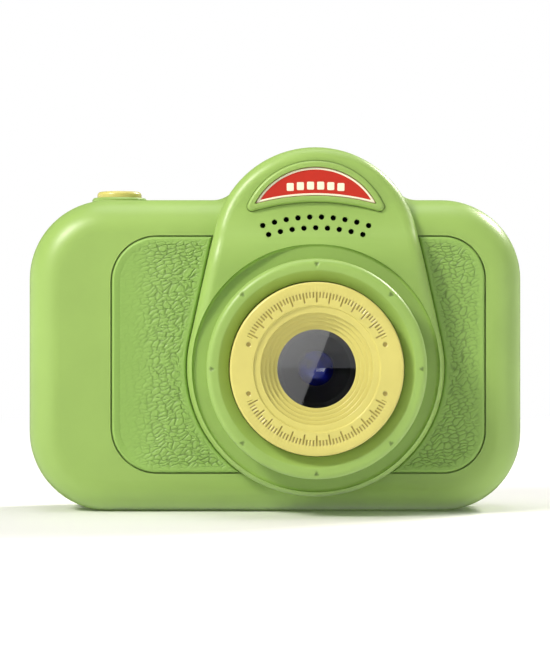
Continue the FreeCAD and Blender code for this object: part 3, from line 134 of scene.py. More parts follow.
# ---------------------------------------------------------------- meshes
def build(name, points, faces, material, body, replaced=(), sharp=35.0):
    """Mesh object of points in millimetres and arrays of faces, turned to face outwards.

    The outward side is found from the signed volume: the sum over triangles of the first corner
    times the cross product of the other two.
    """
    used, packed = np.unique(np.concatenate([f.ravel() for f in faces]), return_inverse=True)
    points = np.asarray(points, float)[used] * MM
    split = np.cumsum([f.size for f in faces])[:-1]
    faces = [p.reshape(f.shape) for p, f in zip(np.split(packed.ravel(), split), faces)]
    volume = 0.0
    for group in faces:
        first = points[group[:, 0]]
        for k in range(1, group.shape[1] - 1):
            turn = np.cross(points[group[:, k]], points[group[:, k + 1]])
            volume += float((first * turn).sum())
    if volume < 0:
        faces = [group[:, ::-1] for group in faces]
    mesh = bpy.data.meshes.new(name)
    mesh.from_pydata(points.tolist(), [], [row for group in faces for row in group.tolist()])
    mesh.shade_smooth()
    mesh.set_sharp_from_angle(angle=math.radians(sharp))
    mesh.materials.append(material)
    piece = bpy.data.objects.new(name, mesh)
    bpy.context.scene.collection.objects.link(piece)
    if body:
        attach(piece, body)
    if replaced:
        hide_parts(*replaced)
    return piece


def grid_faces(rows, columns, start=0, ring=False):
    """Quads between neighbouring rows of a grid whose columns close on themselves."""
    index = start + np.arange(rows * columns).reshape(rows, columns)
    after = np.roll(index, -1, axis=1)
    below = np.roll(index, -1, axis=0)
    corner = np.roll(after, -1, axis=0)
    quads = np.stack([index, after, corner, below], axis=-1)
    return (quads if ring else quads[:-1]).reshape(-1, 4)


def closed(grids, ring=False):
    """Points and faces of grids (rows, columns, 3): an end row shrunk to a point is one pole."""
    points, quads, fans, start = [], [], [], 0
    for grid in grids:
        rows, columns = grid.shape[:2]
        faces = grid_faces(rows, columns, start, ring)
        pole = {}
        for row in (0, rows - 1):
            if not ring and np.ptp(grid[row], axis=0).max() < 1e-7:
                pole[row] = start + row * columns
        if 0 in pole:
            near = faces[:columns]
            fans.append(np.stack([np.full(columns, pole[0]), near[:, 2], near[:, 3]], axis=-1))
            faces = faces[columns:]
        if rows - 1 in pole:
            near = faces[-columns:]
            fans.append(np.stack([near[:, 0], near[:, 1], np.full(columns, pole[rows - 1])],
                                 axis=-1))
            faces = faces[:-columns]
        points.append(grid.reshape(-1, 3))
        quads.append(faces)
        start += rows * columns
    return np.vstack(points), [np.vstack(quads)] + ([np.vstack(fans)] if fans else [])


def solid(name, grids, material, body, replaced=(), ring=False, sharp=35.0):
    """Closed piece from grids whose columns go round and whose rows run end to end."""
    points, faces = closed(grids, ring)
    return build(name, points, faces, material, body, replaced, sharp)


def shade(piece, name, values):
    """Stores one number per point, in the order of the points, for a finish to read."""
    layer = piece.data.attributes.new(name, "FLOAT", "POINT")
    layer.data.foreach_set("value", np.asarray(values, np.float32).ravel())


def rounded(corners, steps=6):
    """Profile through corners (across, along, rounding): each corner is replaced by an arc that
    touches both of its sides at the distance rounding * tan(half the turn)."""
    corners = [tuple(c) + (0.0,) * (3 - len(c)) for c in corners]
    path = [np.array(corners[0][:2])]
    for before, corner, after in zip(corners, corners[1:], corners[2:]):
        here, radius = np.array(corner[:2]), corner[2]
        into, out = here - np.array(before[:2]), np.array(after[:2]) - here
        into, out = into / np.hypot(*into), out / np.hypot(*out)
        turn = math.acos(float(np.clip(into @ out, -1, 1)))
        if radius <= 0 or turn < 1e-3:
            path.append(here)
            continue
        reach = radius * math.tan(turn / 2)
        inward = (out - into) / np.hypot(*(out - into))
        centre = here + inward * radius / math.cos(turn / 2)
        first = here - into * reach - centre
        side = np.sign(first[0] * (here + out * reach - centre)[1]
                       - first[1] * (here + out * reach - centre)[0])
        angle = side * turn * np.linspace(0, 1, steps + 1)
        path.extend(centre + np.stack([first[0] * np.cos(angle) - first[1] * np.sin(angle),
                                       first[0] * np.sin(angle) + first[1] * np.cos(angle)], -1))
    path.append(np.array(corners[-1][:2]))
    return np.array(path)


def dense(path, step):
    """The same profile with its long sides divided into lengths of about step."""
    out = [path[:1]]
    for a, b in zip(path, path[1:]):
        count = max(1, int(round(float(np.hypot(*(b - a))) / step)))
        out.append(a + (b - a) * np.linspace(0, 1, count + 1)[1:, None])
    return np.vstack(out)


def turned(centre, radius, along, axis="Y", columns=128):
    """Surface of revolution: row k is a circle of radius[k] at along[k] on the axis; along may
    differ from column to column, which engraves the surface."""
    angle = np.linspace(0, 2 * math.pi, columns, endpoint=False)
    radius = np.asarray(radius, float).reshape(-1, 1)
    a = centre[0] + radius * np.cos(angle)
    b = centre[1] + radius * np.sin(angle)
    along = np.asarray(along, float)
    along = np.broadcast_to(along.reshape(len(radius), -1), a.shape)
    return np.stack([a, along, b] if axis == "Y" else [a, b, along], axis=-1)


def inside(distance, soft=0.06):
    """1 within a signed distance's zero line, 0 outside it, with a smooth wall between."""
    t = np.clip(0.5 - distance / (2 * soft), 0, 1)
    return t * t * (3 - 2 * t)


def segment_distance(u, v, a, b):
    """Distance from points (u, v) to the straight line from a to b."""
    du, dv = b[0] - a[0], b[1] - a[1]
    t = np.clip(((u - a[0]) * du + (v - a[1]) * dv) / (du * du + dv * dv), 0, 1)
    return np.hypot(u - a[0] - t * du, v - a[1] - t * dv)


def box_distance(u, v, half_u, half_v, radius):
    """Signed distance to a rounded rectangle about the origin."""
    qu, qv = np.abs(u) - half_u + radius, np.abs(v) - half_v + radius
    return np.hypot(np.maximum(qu, 0), np.maximum(qv, 0)) + np.minimum(np.maximum(qu, qv),
                                                                      0) - radius


def value_noise(u, v, seed):
    """Smooth random heights from 0 to 1: a random table on whole numbers, blended between."""
    table = np.random.default_rng(seed).random((64, 64))
    i, j = np.floor(u).astype(int), np.floor(v).astype(int)
    fu, fv = u - i, v - j
    fu, fv = fu * fu * (3 - 2 * fu), fv * fv * (3 - 2 * fv)
    near = table[i % 64, j % 64] * (1 - fu) + table[(i + 1) % 64, j % 64] * fu
    far = table[i % 64, (j + 1) % 64] * (1 - fu) + table[(i + 1) % 64, (j + 1) % 64] * fu
    return near * (1 - fv) + far * fv


# ---------------------------------------------------------------- materials
def add(tree, kind, *links, **settings):
    """Adds one shader node. Settings are its properties, its inputs (with _ for a space) or the
    stops of its ramp; links are pairs of an output and the input that it feeds."""
    node = tree.nodes.new("ShaderNode" + kind)
    for name, value in settings.items():
        if name == "stops":
            ramp = node.color_ramp.elements
            while len(ramp) < len(value):
                ramp.new(1.0)
            for element, (place, stop) in zip(ramp, value):
                element.position = place
                element.color = stop
        elif hasattr(node, name):
            setattr(node, name, value)
        else:
            node.inputs[name.replace("_", " ")].default_value = value
    for output, name in links:
        tree.links.new(output, node.inputs[name])
    return node


def tone(base, factor):
    """A linear colour made lighter or darker."""
    return tuple(min(1.0, c * factor) for c in base[:3]) + (1.0,)


def new_material(name):
    """An empty material, its node tree and the place on the object that its textures follow."""
    material = bpy.data.materials.new(name)
    material.use_nodes = True
    tree = material.node_tree
    tree.nodes.clear()
    return material, tree, add(tree, "TexCoord").outputs["Object"]


# The hairline between the shells: half its dark core, where it has faded out, and its darkness.
SEAM = {"core": 0.06, "fade": 0.16, "dark": 0.3}


def moulded(name, base, roughness=0.4, texture=0.3, relief=0.012, cloud=14.0, spread=0.06,
            recess_shade=None, dark=None, seam=None, coat=0.0, **shader):
    """Injection-moulded plastic: a soft cloudiness of colour some centimetres wide, and the fine
    spark-eroded texture of the mould. An attribute of the engraved places paints shade into what
    is cut into the surface, and a seam is the dark hairline where two shells meet on a plane
    across Y."""
    material, tree, place = new_material(name)
    drift = add(tree, "TexNoise", (place, "Vector"), Scale=1 / (cloud * MM), Detail=3.0)
    tint = add(tree, "ValToRGB", (drift.outputs["Fac"], "Fac"),
               stops=[(0.3, tone(base, 1 - spread)), (0.7, tone(base, 1 + spread))])
    shown = tint.outputs["Color"]
    # painted shade: engraved recesses are darkened towards the dark colour, by as much as the
    # attribute says
    if recess_shade:
        depth = add(tree, "Attribute", attribute_name=recess_shade)
        mix = add(tree, "Mix", (depth.outputs["Fac"], "Factor"), (shown, 6), data_type="RGBA")
        mix.inputs[7].default_value = dark or tone(base, 0.45)
        shown = mix.outputs[2]
    if seam is not None:
        axes = add(tree, "SeparateXYZ", (place, "Vector"))
        side = add(tree, "Math", (axes.outputs["Y"], 0), operation="SUBTRACT")
        side.inputs[1].default_value = seam * MM
        away = add(tree, "Math", (side.outputs[0], 0), operation="ABSOLUTE")
        line = add(tree, "MapRange", (away.outputs[0], "Value"), From_Min=SEAM["core"] * MM,
                   From_Max=SEAM["fade"] * MM, To_Min=1.0, To_Max=0.0)
        mix = add(tree, "Mix", (line.outputs[0], "Factor"), (shown, 6), data_type="RGBA")
        mix.inputs[7].default_value = tone(base, SEAM["dark"])
        shown = mix.outputs[2]
    skin = add(tree, "TexNoise", (place, "Vector"), Scale=1 / (texture * MM), Detail=2.0)
    bump = add(tree, "Bump", (skin.outputs["Fac"], "Height"), Strength=0.5, Distance=relief * MM)
    gloss = add(tree, "MapRange", (skin.outputs["Fac"], "Value"), To_Min=roughness - 0.05,
                To_Max=roughness + 0.05)
    surface = add(tree, "BsdfPrincipled", (shown, "Base Color"), (gloss.outputs[0], "Roughness"),
                  (bump.outputs["Normal"], "Normal"), IOR=1.53, Coat_Weight=coat,
                  Coat_Roughness=0.08, **shader)
    add(tree, "OutputMaterial", (surface.outputs[0], "Surface"))
    return material


def leather_grain(name, base):
    """ABS moulded against a leather-grained mould: creases follow the mesh's own relief, with
    painted shade that darkens them towards their bottoms, and pores a quarter of a millimetre wide
    between them."""
    material, tree, place = new_material(name)
    height = add(tree, "Attribute", attribute_name="crease")
    # painted shade: a lighter tone on the pebbles, darkest at the bottom of the creases
    tint = add(tree, "ValToRGB", (height.outputs["Fac"], "Fac"),
               stops=[(0.0, tone(base, 1.12)), (0.35, tone(base, 0.98)), (1.0, tone(base, 0.55))])
    pores = add(tree, "TexVoronoi", (place, "Vector"), Scale=1 / (0.55 * MM))
    bump = add(tree, "Bump", (pores.outputs["Distance"], "Height"), Strength=0.35,
               Distance=0.03 * MM)
    gloss = add(tree, "MapRange", (pores.outputs["Distance"], "Value"), To_Min=0.42, To_Max=0.56)
    surface = add(tree, "BsdfPrincipled", (tint.outputs["Color"], "Base Color"),
                  (gloss.outputs[0], "Roughness"), (bump.outputs["Normal"], "Normal"), IOR=1.53)
    add(tree, "OutputMaterial", (surface.outputs[0], "Surface"))
    return material


def clear_glass(name, tint, roughness=0.01):
    """Polished glass: it bends what is behind it and mirrors the lights, with faint dust."""
    material, tree, place = new_material(name)
    dust = add(tree, "TexNoise", (place, "Vector"), Scale=1 / (0.8 * MM), Detail=4.0)
    gloss = add(tree, "MapRange", (dust.outputs["Fac"], "Value"), From_Min=0.55, From_Max=0.9,
                To_Min=roughness, To_Max=roughness + 0.03)
    surface = add(tree, "BsdfPrincipled", (gloss.outputs[0], "Roughness"), Base_Color=tint,
                  IOR=1.5, Transmission_Weight=1.0)
    add(tree, "OutputMaterial", (surface.outputs[0], "Surface"))
    return material


def coated_glass(name, deep, film):
    """Lens element with an anti-reflection coating: deep blue-violet with a painted sheen, noise
    blotches some two millimetres wide that make it paler in places and darker in others, and blue
    mirror images."""
    material, tree, place = new_material(name)
    # painted sheen: random blotches from half to one and a half times the deep colour
    painted_sheen = add(tree, "TexNoise", (place, "Vector"), Scale=1 / (2.2 * MM), Detail=1.0)
    tint = add(tree, "ValToRGB", (painted_sheen.outputs["Fac"], "Fac"),
               stops=[(0.35, tone(deep, 0.5)), (0.65, tone(deep, 1.6))])
    surface = add(tree, "BsdfPrincipled", (tint.outputs["Color"], "Base Color"), Roughness=0.04,
                  IOR=1.7, Specular_Tint=film, Coat_Weight=0.6, Coat_Roughness=0.02,
                  Coat_Tint=film)
    add(tree, "OutputMaterial", (surface.outputs[0], "Surface"))
    return material


def printed_glass(name, print_colour, screen_colour):
    """Acrylic window printed black on its back: a deep black that mirrors the room, and the
    slightly lighter dark screen inside the printed border."""
    material, tree, place = new_material(name)
    area = add(tree, "Attribute", attribute_name="screen")
    tint = add(tree, "ValToRGB", (area.outputs["Fac"], "Fac"),
               stops=[(0.4, print_colour), (0.6, screen_colour)])
    haze = add(tree, "TexNoise", (place, "Vector"), Scale=1 / (6.0 * MM), Detail=3.0)
    gloss = add(tree, "MapRange", (haze.outputs["Fac"], "Value"), From_Min=0.4, From_Max=0.8,
                To_Min=0.015, To_Max=0.035)
    surface = add(tree, "BsdfPrincipled", (tint.outputs["Color"], "Base Color"),
                  (gloss.outputs[0], "Roughness"), IOR=1.49)
    add(tree, "OutputMaterial", (surface.outputs[0], "Surface"))
    return material


def drawn_steel(name, base, roughness=0.3, stretch=(1.0, 1.0, 14.0)):
    """Drawn or turned steel: fine streaks along its length, brighter and duller in turn."""
    material, tree, place = new_material(name)
    streak = add(tree, "Mapping", (place, "Vector"), Scale=stretch)
    lines = add(tree, "TexNoise", (streak.outputs[0], "Vector"), Scale=1 / (1.2 * MM), Detail=5.0)
    tint = add(tree, "ValToRGB", (lines.outputs["Fac"], "Fac"),
               stops=[(0.3, tone(base, 0.8)), (0.7, tone(base, 1.15))])
    gloss = add(tree, "MapRange", (lines.outputs["Fac"], "Value"), To_Min=roughness - 0.08,
                To_Max=roughness + 0.12)
    surface = add(tree, "BsdfPrincipled", (tint.outputs["Color"], "Base Color"),
                  (gloss.outputs[0], "Roughness"), Metallic=1.0)
    add(tree, "OutputMaterial", (surface.outputs[0], "Surface"))
    return material


def circuit_board(name, mask_colour):
    """Glass-fibre board under green solder mask: traces half a millimetre wide show through."""
    material, tree, place = new_material(name)
    cells = add(tree, "TexVoronoi", (place, "Vector"), Scale=1 / (2.4 * MM), distance="MANHATTAN",
                feature="F2")
    tint = add(tree, "ValToRGB", (cells.outputs["Distance"], "Fac"),
               stops=[(0.55, mask_colour), (0.62, tone(mask_colour, 2.2))])
    bump = add(tree, "Bump", (cells.outputs["Distance"], "Height"), Strength=0.3,
               Distance=0.04 * MM)
    surface = add(tree, "BsdfPrincipled", (tint.outputs["Color"], "Base Color"),
                  (bump.outputs["Normal"], "Normal"), Roughness=0.35, Coat_Weight=0.4)
    add(tree, "OutputMaterial", (surface.outputs[0], "Surface"))
    return material


def woven(name, base, pitch):
    """Black speaker gauze or foam: a weave of that pitch, matt, with a faint nap."""
    material, tree, place = new_material(name)
    warp = add(tree, "TexWave", (place, "Vector"), Scale=1 / (pitch * MM * 6.3), Distortion=0.0,
               bands_direction="X")
    weft = add(tree, "TexWave", (place, "Vector"), Scale=1 / (pitch * MM * 6.3), Distortion=0.0,
               bands_direction="Z")
    cross = add(tree, "Math", (warp.outputs["Fac"], 0), (weft.outputs["Fac"], 1),
                operation="MAXIMUM")
    tint = add(tree, "ValToRGB", (cross.outputs[0], "Fac"),
               stops=[(0.2, tone(base, 0.4)), (0.9, tone(base, 1.5))])
    bump = add(tree, "Bump", (cross.outputs[0], "Height"), Strength=0.8, Distance=0.1 * MM)
    surface = add(tree, "BsdfPrincipled", (tint.outputs["Color"], "Base Color"),
                  (bump.outputs["Normal"], "Normal"), Roughness=0.9, Sheen_Weight=0.2)
    add(tree, "OutputMaterial", (surface.outputs[0], "Surface"))
    return material


FINISHES = {}


def finish(slot):
    """The material of one of the record's slots, made once."""
    if slot not in FINISHES:
        FINISHES[slot] = make_finish(slot)
    return FINISHES[slot]


def make_finish(slot):
    """Each slot's real material."""
    colours = bpy.context.scene.kids_camera_colours
    shell, yellow = tuple(colours.shell), tuple(colours.yellow)
    makers = {
        # satin ABS: soft wide highlights along every rounded edge, with painted shade in its
        # engraved marks
        "green_plastic": lambda: moulded("abs_green_satin", shell, 0.38, recess_shade="engraved"),
        # the same ABS on the two shells, with the hairline between them
        "green_shell": lambda: moulded("abs_green_shell", shell, 0.38,
                                       seam=low_high("rear_shell")[0][1]),
        # the same ABS from a grained mould: dull, with painted shade in its creases
        "green_grain": lambda: leather_grain("abs_green_grained", tuple(colours.grip)),
        # ABS with a finer polish, so the ring and keys catch a crisper light; a dark olive paints
        # shade into its engravings
        "yellow_plastic": lambda: moulded("abs_yellow_satin", yellow, 0.33, recess_shade="engraved",
                                          dark=linear("#7d6a2a")),
        # screen-printed lacquer: saturated and glossy
        "red_plastic": lambda: moulded("lacquer_red", tuple(colours.red), 0.3, coat=0.5,
                                       spread=0.03),
        # pad-printed ink, a little duller than the lacquer under it
        "cream_print": lambda: moulded("ink_cream", tuple(colours.cream), 0.45, spread=0.03),
        # polished float glass, nearly colourless
        "lens_glass": lambda: clear_glass("glass_polished", linear("#f2f5fb")),
        # optical glass with a coating: deep blue, a painted sheen of paler blotches, and paler
        # blue mirror images
        "coated_glass": lambda: coated_glass("glass_coated", linear("#18218a"),
                                             linear("#8fa2ff")),
        # acrylic printed black on its back: a black mirror
        "window_glass": lambda: printed_glass("acrylic_back_printed", tuple(colours.glass),
                                              linear("#1a1a1f")),
        # black polycarbonate with a matt mould texture that swallows stray light
        "black_plastic": lambda: moulded("polycarbonate_black", linear("#101012"), 0.6),
        # glass-fibre laminate under solder mask, with its traces standing out
        "board_green": lambda: circuit_board("fibreglass_board", linear("#0e4a24")),
        # transfer-moulded epoxy: dull black with a sandy texture
        "chip_black": lambda: moulded("epoxy_black", linear("#1b1b1d"), 0.55, texture=0.2),
        # drawn or stamped steel: streaked reflections along the grain
        "steel": lambda: drawn_steel("steel_drawn", linear("#b9bbbe")),
        # blackened steel screws, nearly black deep in their holes
        "screw_steel": lambda: drawn_steel("steel_blackened", linear("#3a3b3e"), 0.42),
        # etched display glass: smooth, grey and soft in its reflections
        "lcd_glass": lambda: moulded("panel_glass_matt", linear("#2a2c31"), 0.25, spread=0.1),
        # open-cell foam: matt black with a coarse, soft surface
        "foam": lambda: woven("foam_black", linear("#1c1c1d"), 0.7),
        # speaker gauze: matt black with a fine weave
        "cloth_black": lambda: woven("gauze_black", linear("#161617"), 0.45),
        # aluminium pouch foil: bright and cloudy
        "battery_foil": lambda: drawn_steel("foil_aluminium", linear("#c9ccd2"), 0.4,
                                            (3.0, 3.0, 3.0)),
        # polyimide film over copper: amber and glossy
        "ribbon_amber": lambda: moulded("polyimide_amber", linear("#b8791f"), 0.3, coat=0.3),
        # soft vinyl wire insulation
        "wire_red": lambda: moulded("pvc_red", linear("#b3231d"), 0.45),
        # nylon switch bodies, off-white
        "switch_white": lambda: moulded("nylon_white", linear("#e6e4dc"), 0.5),
    }
    return makers[slot]()


# ---------------------------------------------------------------- grip panels
# Radii of the outline round the lens and the dome, the dome's height, and the gap to the grips.
HUMP = {"lens": 23.4, "dome": 18.75, "dome_z": 48.25, "gap": 0.25}
PANEL_CORNERS = {"left": 8.3, "right": 7.7}
PANEL = {"rows": 410, "columns": 220, "edge": 0.55, "calm_from": 0.3, "calm_over": 1.2}
SCOOP = {"from_edge": 5.2, "half_width": 4.6, "end_margin": 1.0, "end_length": 9.0}


def bell_half_width(z, lens_z):
    """Half the width of the outline round the lens and dome at height z, grown by the gap: the
    lens circle below, the dome circle above, and the tangent line between them."""
    big, small = HUMP["lens"] + HUMP["gap"], HUMP["dome"] + HUMP["gap"]
    rise = HUMP["dome_z"] - lens_z
    tilt = math.asin((big - small) / rise)
    low = lens_z + big * math.sin(tilt)
    high = HUMP["dome_z"] + small * math.sin(tilt)
    line = big * math.cos(tilt) - (z - low) * math.tan(tilt)
    circle = np.sqrt(np.maximum(big ** 2 - (z - lens_z) ** 2, 0))
    dome = np.sqrt(np.maximum(small ** 2 - (z - HUMP["dome_z"]) ** 2, 0))
    return np.where(z < low, circle, np.where(z < high, line, dome))


def crowded(count, squeeze):
    """Numbers from 0 to 1 that crowd towards both ends: t - squeeze * sin(2 pi t) / (2 pi)."""
    t = np.linspace(0, 1, count)
    return t - squeeze * np.sin(2 * math.pi * t) / (2 * math.pi)


def cells(u, v, seed):
    """Distances to the nearest and the second nearest of one random point in each unit square."""
    table = np.random.default_rng(seed).random((64, 64, 2)) * 0.8 + 0.1
    i, j = np.floor(u).astype(int), np.floor(v).astype(int)
    first, second = np.full(u.shape, 9.0), np.full(u.shape, 9.0)
    for di in (-1, 0, 1):
        for dj in (-1, 0, 1):
            spot = table[(i + di) % 64, (j + dj) % 64]
            away = np.hypot(i + di + spot[..., 0] - u, j + dj + spot[..., 1] - v)
            second = np.where(away < first, first, np.minimum(second, away))
            first = np.minimum(first, away)
    return first, second


def creases(x, z, pitch):
    """Leather creases, 1 at the bottom of a crease and 0 on the pebbles between them: the two
    nearest points of a jittered grid are equally far along a crease. The grid is stretched
    sideways, and noise bends it by a third of its pitch."""
    bend = 0.9 * pitch * (value_noise(x / (1.7 * pitch), z / (1.7 * pitch), 5) - 0.5)
    along = 0.97 * x + 0.24 * z + bend
    across = -0.24 * x + 0.97 * z + 1.3 * bend
    near, far = cells(along / (1.75 * pitch), across / (0.82 * pitch), 11)
    groove = 1 - np.clip((far - near) / 0.34, 0, 1)
    fine_near, fine_far = cells(along / (0.9 * pitch), across / (0.5 * pitch), 29)
    fine = 1 - np.clip((fine_far - fine_near) / 0.4, 0, 1)
    swell = value_noise(along / pitch, across / (0.7 * pitch), 41)
    total = 0.72 * groove ** 1.3 + 0.22 * fine + 0.22 * swell
    return np.clip(total, 0, 1)


def grip_panel(side):
    """Grained plate between the case's edge and the hump: a grid of level rows that run from the
    hump's outline to the outer edge, rounded at the border, scooped for the fingers at the left
    and creased."""
    sizes = bpy.context.scene.kids_camera_sizes
    node = "grip_panel_" + side
    low, high = low_high(node)
    lens = middle("lens_ring")
    left = side == "left"
    radius = PANEL_CORNERS[side]
    rows, columns = PANEL["rows"], PANEL["columns"]
    z = low[2] + (high[2] - low[2]) * crowded(rows, 0.7)[:, None]
    over = np.maximum(np.maximum(low[2] + radius - z, z - high[2] + radius), 0)
    bite = radius - np.sqrt(np.maximum(radius ** 2 - over ** 2, 0))
    half = bell_half_width(z, lens[2])
    outer = low[0] + bite if left else high[0] - bite
    inner = lens[0] - half if left else lens[0] + half
    share = crowded(columns, 0.75)[None, :]
    x = outer + (inner - outer) * share
    z = np.broadcast_to(z, x.shape)
    plate_low = low_high("grip_panel_left")[0][0]
    plate_high = low_high("grip_panel_right")[1][0]
    centre_x, centre_z = (plate_low + plate_high) / 2, (low[2] + high[2]) / 2
    border = -box_distance(x - centre_x, z - centre_z, (plate_high - plate_low) / 2,
                           (high[2] - low[2]) / 2, radius)
    to_hump = np.abs(x - inner) * 0.96
    border = np.minimum(np.maximum(border, 0), to_hump)
    edge = PANEL["edge"]
    drop = edge - np.sqrt(edge ** 2 - np.maximum(edge - border, 0) ** 2)
    calm = np.clip((border - PANEL["calm_from"]) / PANEL["calm_over"], 0, 1)
    relief = creases(x, z, sizes.grain_pitch / MM)
    fade = np.clip((x - low[0] - 2.5) / 6.0, 0.18, 1) if left else np.clip(
        0.55 + (high[0] - x) / 9.0, 0, 1)
    relief = relief * calm * fade
    scoop = 0.0
    if left:
        reach = (x - low[0] - SCOOP["from_edge"]) / SCOOP["half_width"]
        margin, long = SCOOP["end_margin"], SCOOP["end_length"]
        ends = (np.clip((z - low[2] - margin) / long, 0, 1)
                * np.clip((high[2] - margin - z) / long, 0, 1))
        scoop = sizes.scoop_depth / MM * np.exp(-reach ** 2) * ends * (2 - ends) * calm
    y = low[1] + drop + scoop + relief * sizes.grain_depth / MM
    front = np.stack([x, y, z], axis=-1)
    index = np.arange(rows * columns).reshape(rows, columns)
    edge_loop = np.concatenate([index[0, :-1], index[:-1, -1], index[-1, :0:-1], index[:0:-1, 0]])
    back = front.reshape(-1, 3)[edge_loop] * [1, 0, 1] + [0, high[1], 0]
    wall = rows * columns + np.arange(len(edge_loop))
    quads = np.stack([index[:-1, :-1], index[:-1, 1:], index[1:, 1:], index[1:, :-1]],
                     axis=-1).reshape(-1, 4)
    sides = np.stack([np.roll(edge_loop, -1), edge_loop, wall, np.roll(wall, -1)], axis=-1)
    points = np.vstack([front.reshape(-1, 3), back])
    piece = build(node + "_grained", points, [quads, sides, wall[::-1][None, :]],
                  finish("green_grain"), "case", (node,), sharp=50)
    # the crease depth per point, which the grained finish turns into painted shade
    shade(piece, "crease", np.concatenate([relief.ravel(), np.zeros(len(back))]))


# ---------------------------------------------------------------- badge
BADGE = {"circle": 12.45, "arc": 41.0, "border": 1.2, "tip": 0.9}
SPINE = {"length": 0.8, "rise": 0.2, "bow": 0.022}
SQUARES = {"count": 6, "pitch": 1.42, "drop": 3.35, "bow": 0.012, "tall": 1.12,
           "power": 2 / 7, "columns": 48}


def crescent_path(grow, tip, count=360):
    """Closed outline of the badge grown outwards: the circle above, the wide arc below, and a
    small arc of radius tip that touches both at each end. Whole arcs are equally divided."""
    inlay_low, inlay_high = low_high("badge_inlay")
    centre_x = (inlay_low[0] + inlay_high[0]) / 2
    top = np.array([0.0, inlay_high[2] - BADGE["circle"]])
    half = (inlay_high[0] - inlay_low[0]) / 2
    under = np.array([0.0, inlay_low[2] - math.sqrt(BADGE["arc"] ** 2 - half ** 2)])
    r_top, r_low = BADGE["circle"] + grow, BADGE["arc"] - grow
    a, b, gap = r_top - tip, r_low + tip, top[1] - under[1]
    up = (b * b - a * a + gap * gap) / (2 * gap)
    side = math.sqrt(b * b - up * up)
    corner = np.array([side, under[1] + up])
    start = math.atan2(*(corner - top)[::-1])
    end = math.atan2(*(corner - under)[::-1])
    sweeps = [(top, r_top, start, math.pi - start, 0.46),
              (corner * [-1, 1], tip, math.pi - start, 2 * math.pi - end, 0.06),
              (under, r_low, math.pi - end, end, 0.42),
              (corner, tip, end - math.pi, start, 0.06)]
    parts = []
    for centre, radius, first, last, share in sweeps:
        angle = np.linspace(first, last, int(count * share), endpoint=False)
        parts.append(centre + radius * np.stack([np.cos(angle), np.sin(angle)], -1))
    return np.vstack(parts) + [centre_x, 0]


def badge_frame():
    """Green border of the badge: a rounded strip between its inner and outer outlines."""
    low, high = low_high("badge_frame")
    inner = crescent_path(0.05, 0.12)
    outer = crescent_path(BADGE["border"], BADGE["tip"])
    wide = BADGE["border"]
    section = rounded([(0.0, high[1]), (0.0, low[1], 0.18), (wide, low[1], 0.55),
                       (wide, high[1])])
    share = section[:, :1, None] / wide
    flat = inner + (outer - inner) * share
    depth = np.broadcast_to(section[:, 1:2], flat.shape[:2])
    grid = np.stack([flat[..., 0], depth, flat[..., 1]], axis=-1)
    return solid("badge_frame_moulded", [grid], finish("green_plastic"), "case",
                 ("badge_frame",), ring=True)


def badge_inlay():
    """Red face with a raised cream line along its outline and six cream squares on it."""
    low, high = low_high("badge_inlay")
    sizes = bpy.context.scene.kids_camera_sizes
    rim = crescent_path(-0.02, 0.1)
    centre = rim.mean(axis=0)
    spine_x = centre[0] + (rim[:, 0] - centre[0]) * SPINE["length"]
    spine_z = centre[1] + SPINE["rise"] - (spine_x - centre[0]) ** 2 * SPINE["bow"]
    spine = np.stack([spine_x, spine_z], axis=-1)
    rows = []
    for share, depth in ((0.0, low[1]), (0.6, low[1]), (1.0, low[1]), (1.0, high[1]),
                         (0.0, high[1])):
        flat = spine + (rim - spine) * share
        rows.append(np.stack([flat[:, 0], np.full(len(rim), depth), flat[:, 1]], axis=-1))
    solid("badge_inlay_red", [np.array(rows)], finish("red_plastic"), "case",
          ("badge_inlay",), ring=True)
    line = rounded([(-0.06, 0.06), (-0.06, -0.05, 0.04), (-0.42, -0.05, 0.04), (-0.42, 0.06)],
                   steps=3)
    loops = []
    for grow, depth in line:
        flat = crescent_path(grow, 0.09)
        loops.append(np.stack([flat[:, 0], np.full(len(flat), low[1] + depth), flat[:, 1]], -1))
    solid("badge_line_cream", [np.array(loops)], finish("cream_print"), "case",
          ring=True)
    side = sizes.badge_square / MM
    pitch = side * SQUARES["pitch"]
    squares = []
    columns = SQUARES["columns"]
    angle = np.linspace(0, 2 * math.pi, columns, endpoint=False)
    for i in range(SQUARES["count"]):
        x = centre[0] + (i - (SQUARES["count"] - 1) / 2) * pitch
        z = high[2] - SQUARES["drop"] - (x - centre[0]) ** 2 * SQUARES["bow"]
        rows = []
        for grow, depth in ((-side / 2, -0.05), (-0.12, -0.05), (-0.03, -0.04), (0.0, 0.0),
                            (0.0, 0.06), (-side / 2, 0.06)):
            half = side / 2 + grow
            power = SQUARES["power"]
            u = half * np.sign(np.cos(angle)) * np.abs(np.cos(angle)) ** power
            v = (half * SQUARES["tall"] * np.sign(np.sin(angle))
                 * np.abs(np.sin(angle)) ** power)
            rows.append(np.stack([x + u, np.full(columns, low[1] + depth), z + v], axis=-1))
        squares.append(np.array(rows))
    solid("badge_squares_cream", squares, finish("cream_print"), "case")


# ---------------------------------------------------------------- lens
BARREL = {"hole": 8.9, "spigot": 18.0, "shoulder": -9.8, "outer": 19.6, "rim": 17.5,
          "bore": 15.6, "slope": 1.75, "floor": 1.6, "columns": 720}
ARROW = {"radius": 18.55, "half": 0.42, "wide": 0.5, "from": 17.3}


